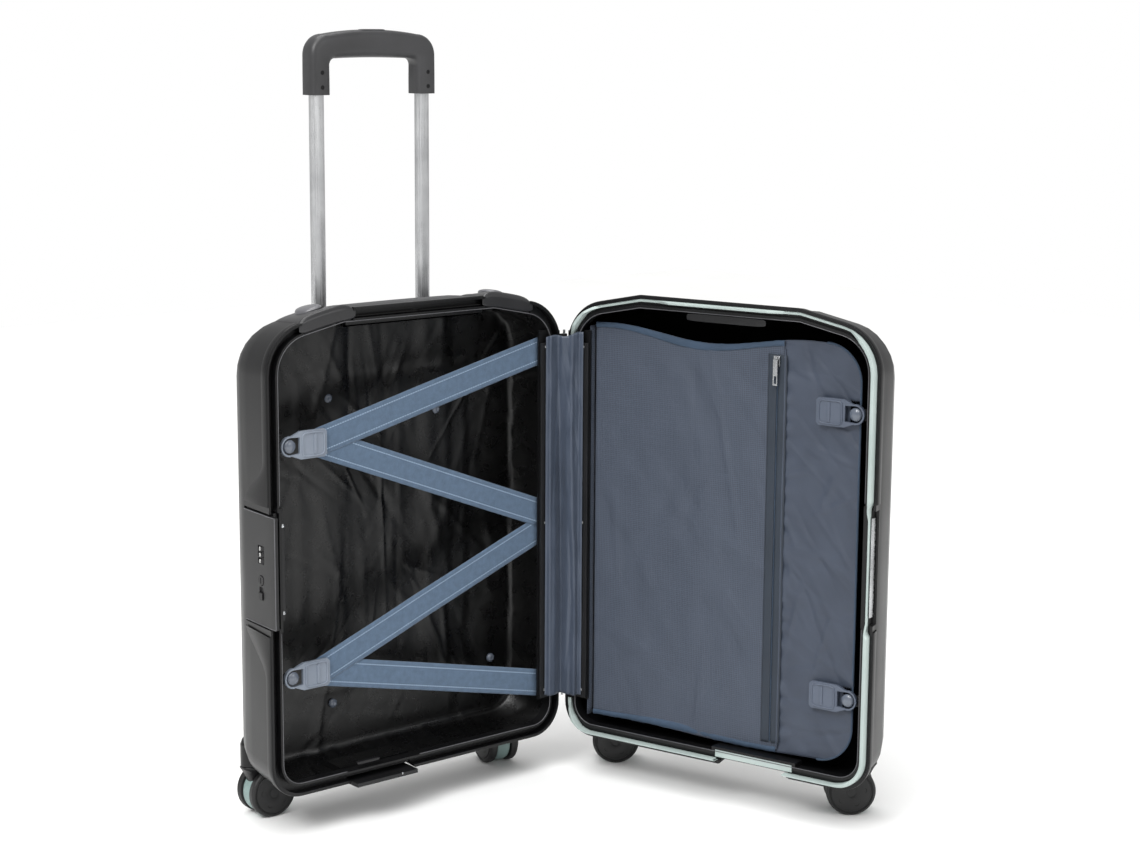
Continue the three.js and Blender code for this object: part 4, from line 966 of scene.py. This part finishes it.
# ---- casters -------------------------------------------------------------------------------------------
def caster(name, place, x, y, trail_angle):
    """One twin-wheel caster: a grey-green housing disc between two dark wheels with ring-shaped rims and
    small round hollows, on a swivel plate. All are lathes turned round the axle or the stem."""
    c, s = math.cos(math.radians(trail_angle)), math.sin(math.radians(trail_angle))
    axle = np.array([WHEEL_TRAIL, 0.0, WHEEL_RADIUS])

    def put(p):
        p = np.asarray(p, float)
        ahead, aside, up = p[..., 0], p[..., 1], p[..., 2]
        return place(np.stack([x + ahead * c - aside * s, y + ahead * s + aside * c, up], -1))

    r = WHEEL_RADIUS
    body, wheels = name, f"{name}_wheels"
    housing = [(0, 7.9), (r - 5, 7.9), (r - 2.6, 7.2), (r - 1.7, 5.4), (r - 1.6, 0), (r - 1.7, -5.4),
               (r - 2.6, -7.2), (r - 5, -7.9), (0, -7.9)]
    disc = piece(f"{name}_housing", put(facing(lathe(housing, 64), "y", axle)), body, HOUSING,
                 around=True, flip=True)
    neck_turn = np.linspace(0, 2 * math.pi, 40, endpoint=False)
    levels = np.linspace(0, 1, 14)
    half_x = 9.5 + 1.2 * levels ** 3
    centre_x = 8.0 - 8.0 * levels ** 1.4
    half_y = 7.6 + 3.1 * levels ** 4
    neck = joined(centre_x[:, None] + half_x[:, None] * squarer(np.cos(neck_turn), 0.6),
                  half_y[:, None] * squarer(np.sin(neck_turn), 0.6), (32 + 22 * levels)[:, None])
    neck_piece = piece(f"{name}_neck", put(neck), body, TRIM, around=True, caps=True)
    plate = [(0, 53.4), (10.4, 53.4), (11.0, 54.0), (11.0, 55.6), (10.4, 56.2), (4.2, 56.2), (4.0, 56.8),
             (4.0, 72), (0, 72)]
    stem = piece(f"{name}_swivel", put(lathe(plate, 48)), body, TRIM, around=True)
    for made in (disc, neck_piece, stem):
        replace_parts(made, f"{name}_fork")
    for letter, side in (("a", 1), ("b", -1)):
        near, far = 8.5, 18.9
        way = "y" if side > 0 else "-y"
        profile = [(3.4, near), (r - 1.6, near), (r - 0.5, near + 0.4), (r, near + 1.6),
                   (r - 0.15, near + 4.9), (r, near + 5.2), (r, far - 3.6), (r - 0.8, far - 2.2),
                   (r - 2.2, far - 1.3), (r - 3.0, far - 1.25), (r - 3.5, far - 2.1), (r - 4.6, far - 2.2),
                   (r - 5.2, far - 1.1), (r * 0.55, far - 0.1), (6.2, far), (5.4, far - 0.6),
                   (4.6, far - 0.4), (2, far - 0.1), (0, far)]
        wheel = piece(f"{name}_wheel_{letter}_tyre", put(facing(lathe(profile, 72), way, axle)), wheels, TYRE,
                      around=True)
        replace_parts(wheel, f"{name}_wheel_{letter}")
        for k in range(5):
            a = k * 2 * math.pi / 5 + 0.5
            hole = [(0, -0.05), (1.6, -0.02), (2.4, 0.08), (2.9, 0.35), (3.2, 0.1), (3.2, -0.6), (0, -0.6)]
            centre = axle + [13.6 * math.cos(a), side * (far - 0.45), 13.6 * math.sin(a)]
            piece(f"{name}_hollow_{letter}{k + 1}", put(facing(lathe(hole, 20), way, centre)), wheels,
                  DARK_TRIM, around=True, flip=True)


caster("caster_rear_free", rear, -160, 90, -2.3)
caster("caster_rear_hinge", rear, 160, 90, 257.3)
caster("caster_front_free", front, -150, -76, 34.8)
caster("caster_front_hinge", front, 150, -76, 34.8)


# ---- grip, lock and latch details ----------------------------------------------------------------------
def arch(half, foot, top, corner, crown, count):
    """One edge of the grip's arch: up a leg, round a quarter circle, across a crowned top and down again."""
    rise = np.linspace(foot, top - crown - corner, 16)
    turn = np.linspace(math.pi, math.pi / 2, 18)
    left = np.concatenate([np.stack([np.full(16, -half), rise], 1),
                           np.stack([-half + corner + corner * np.cos(turn),
                                     top - crown - corner + corner * np.sin(turn)], 1)])
    across = np.linspace(-half + corner, half - corner, count)[1:-1]
    lift = crown * (1 - (across / (half - corner)) ** 2)
    return np.concatenate([left, np.stack([across, top - crown + lift], 1), left[::-1] * [-1, 1]])


def trolley_grip():
    """The grip: a rounded section set between the arch's outer and inner edge, fuller over the bar."""
    outer = arch(79.4, 756.2, 823, 21, 4.5, 40)
    inner = arch(55.6, 756.2, 794.2, 8, 1.0, 40)
    turn = np.linspace(0, 2 * math.pi, 40, endpoint=False)
    middle, reach = (outer + inner) / 2, (outer - inner) / 2
    over = np.clip((middle[:, 1] - 775) / 25, 0, 1)[:, None]
    c = squarer(np.cos(turn), 2 / 4.2)
    d = squarer(np.sin(turn), 2 / 3.4)
    y = 87.9 - 12.0 * d * (1 - 0.06 * over * np.abs(c) ** 3)
    p = np.stack([middle[:, :1] + reach[:, :1] * c, y, middle[:, 1:] + reach[:, 1:] * c], -1)
    made = piece("trolley_grip_cover", rear(p), "trolley_inner", GRIP, around=True, caps=True)
    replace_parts(made, "grip")


trolley_grip()
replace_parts(bar("push_button_cap", (0, 84, 821.4), (15.8, 3.9, 2.0), "grip_button", GRIP),
            "push_button")
for i, side in enumerate((-1, 1)):
    for k, z in enumerate((764, 779)):
        screw(f"grip_screw_{i + 1}_{k + 1}", "-y", (side * TUBE_X, 76.0, z), "trolley_inner", radius=2.3,
              proud=0.5, finish=DARK_TRIM)


def digit(name, text, centre, size, body):
    """A small printed numeral on a dial: a generic figure, made a mesh and laid on the drum's outer face."""
    curve = bpy.data.curves.new(name, "FONT")
    curve.body, curve.size, curve.align_x, curve.align_y = text, size * 0.001, "CENTER", "CENTER"
    curve.extrude = 0.00005
    maker = bpy.data.objects.new(name + "_curve", curve)
    bpy.context.scene.collection.objects.link(maker)
    mesh = bpy.data.meshes.new_from_object(maker)
    bpy.data.objects.remove(maker)
    turn = Matrix(((0, 0, -1, 0), (-1, 0, 0, 0), (0, 1, 0, 0), (0, 0, 0, 1)))
    mesh.transform(Matrix.Translation(Vector(rear(centre))) @ turn)
    obj = bpy.data.objects.new(name, mesh)
    finished(obj, body, DIGITS, smooth=False)


for i, z in enumerate((308, 301.6, 295.2)):
    digit(f"dial_numeral_{i + 1}", "0", (-190.15, 18, z), 5.4, f"dial_{i + 1}")
# Thin lighter grey ropes along the lock lever's top, bottom and front edges: painted highlights where the
# lever's curved edges catch the light.
face = np.array([(-190.9, -10.0), (-190.9, 0), (-190.0, 9), (-188.5, 29), (-187.3, 45.5), (-186.6, 52.5)])
for which, z in (("top", 343.4), ("bottom", 228.6)):
    path = rear(joined(face[:, 0] + 0.4, face[:, 1], z))
    rope(f"lock_lever_highlight_{which}_line", path, 0.0005, "lock_flap", LIP_HIGHLIGHT)
path = rear(joined(-190.3, -9.9, np.linspace(229, 343, 24)))
rope("lock_lever_highlight_front_line", path, 0.00055, "lock_flap", LIP_HIGHLIGHT)
screw("latch_rivet", "-y", (-34, -8.6, 45.6), "latch_lever", radius=1.5, proud=0.5)


# ---- floor, light and camera ---------------------------------------------------------------------------
floor_mesh = bpy.data.meshes.new("studio_floor")
floor_mesh.from_pydata([(-4, -4, 0), (4, -4, 0), (4, 4, 0), (-4, 4, 0)], [], [(0, 1, 2, 3)])
studio_floor = bpy.data.objects.new("studio_floor", floor_mesh)
bpy.context.scene.collection.objects.link(studio_floor)
paper = Finish("studio_paper", 0.9)
paper.colour(paper.ramp(paper.noise(3), (0.3, "#f4f4f3"), (0.7, "#f8f8f7")))
floor_mesh.materials.append(paper.material)


def lamp(name, at, aim, size, watts):
    light = bpy.data.lights.new(name, "AREA")
    light.shape, light.size, light.energy = "SQUARE", size, watts
    obj = bpy.data.objects.new(name, light)
    obj.location = at
    obj.rotation_euler = (Vector(aim) - Vector(at)).to_track_quat("-Z", "Y").to_euler()
    bpy.context.scene.collection.objects.link(obj)


lamp("key_softbox", (-2.3, -0.7, 2.3), (0, 0, 0.4), 1.1, 44)
lamp("fill_softbox", (0.9, -2.9, 1.7), (0, 0, 0.3), 1.5, 16)
lamp("top_softbox", (0.2, 0.8, 2.8), (0, 0, 0.4), 1.3, 22)
sky = bpy.data.lights.new("overhead_light", "SUN")
sky.energy, sky.angle = 1.9, math.radians(50)
overhead = bpy.data.objects.new("overhead_light", sky)
overhead.rotation_euler = Vector((0.45, 0.35, -1.0)).to_track_quat("-Z", "Y").to_euler()
bpy.context.scene.collection.objects.link(overhead)
world = bpy.data.worlds.new("studio")
bpy.context.scene.world = world
world.use_nodes = True
nodes, links = world.node_tree.nodes, world.node_tree.links
soft = nodes["Background"]
soft.inputs["Color"].default_value, soft.inputs["Strength"].default_value = (1, 1, 1, 1), 0.55
backdrop = nodes.new("ShaderNodeBackground")
backdrop.inputs["Color"].default_value, backdrop.inputs["Strength"].default_value = (1, 1, 1, 1), 1.0
seen = nodes.new("ShaderNodeLightPath")
both = nodes.new("ShaderNodeMixShader")
links.new(seen.outputs["Is Camera Ray"], both.inputs[0])
links.new(soft.outputs[0], both.inputs[1])
links.new(backdrop.outputs[0], both.inputs[2])
links.new(both.outputs[0], nodes["World Output"].inputs["Surface"])
bpy.context.scene.view_settings.view_transform = "Standard"

LENS, EYE = 71.05, Vector((PIN.x - 1.5826, PIN.y - 1.8607, 0.8229))
AZIMUTH, PITCH, ROLL = math.radians(-40.55), math.radians(10.0), math.radians(0.37)
ahead = Vector((-math.sin(AZIMUTH) * math.cos(PITCH), math.cos(AZIMUTH) * math.cos(PITCH), -math.sin(PITCH)))
level = Vector((math.cos(AZIMUTH), math.sin(AZIMUTH), 0))
upward = level.cross(ahead)
right_hand = level * math.cos(ROLL) + upward * math.sin(ROLL)
upward = -level * math.sin(ROLL) + upward * math.cos(ROLL)
camera = bpy.data.objects.new("camera", bpy.data.cameras.new("camera"))
camera.data.lens, camera.data.sensor_width = LENS, 36
place = Matrix((right_hand, upward, -ahead)).transposed().to_4x4()
place.translation = EYE
camera.matrix_world = place
bpy.context.scene.collection.objects.link(camera)
bpy.context.scene.camera = camera
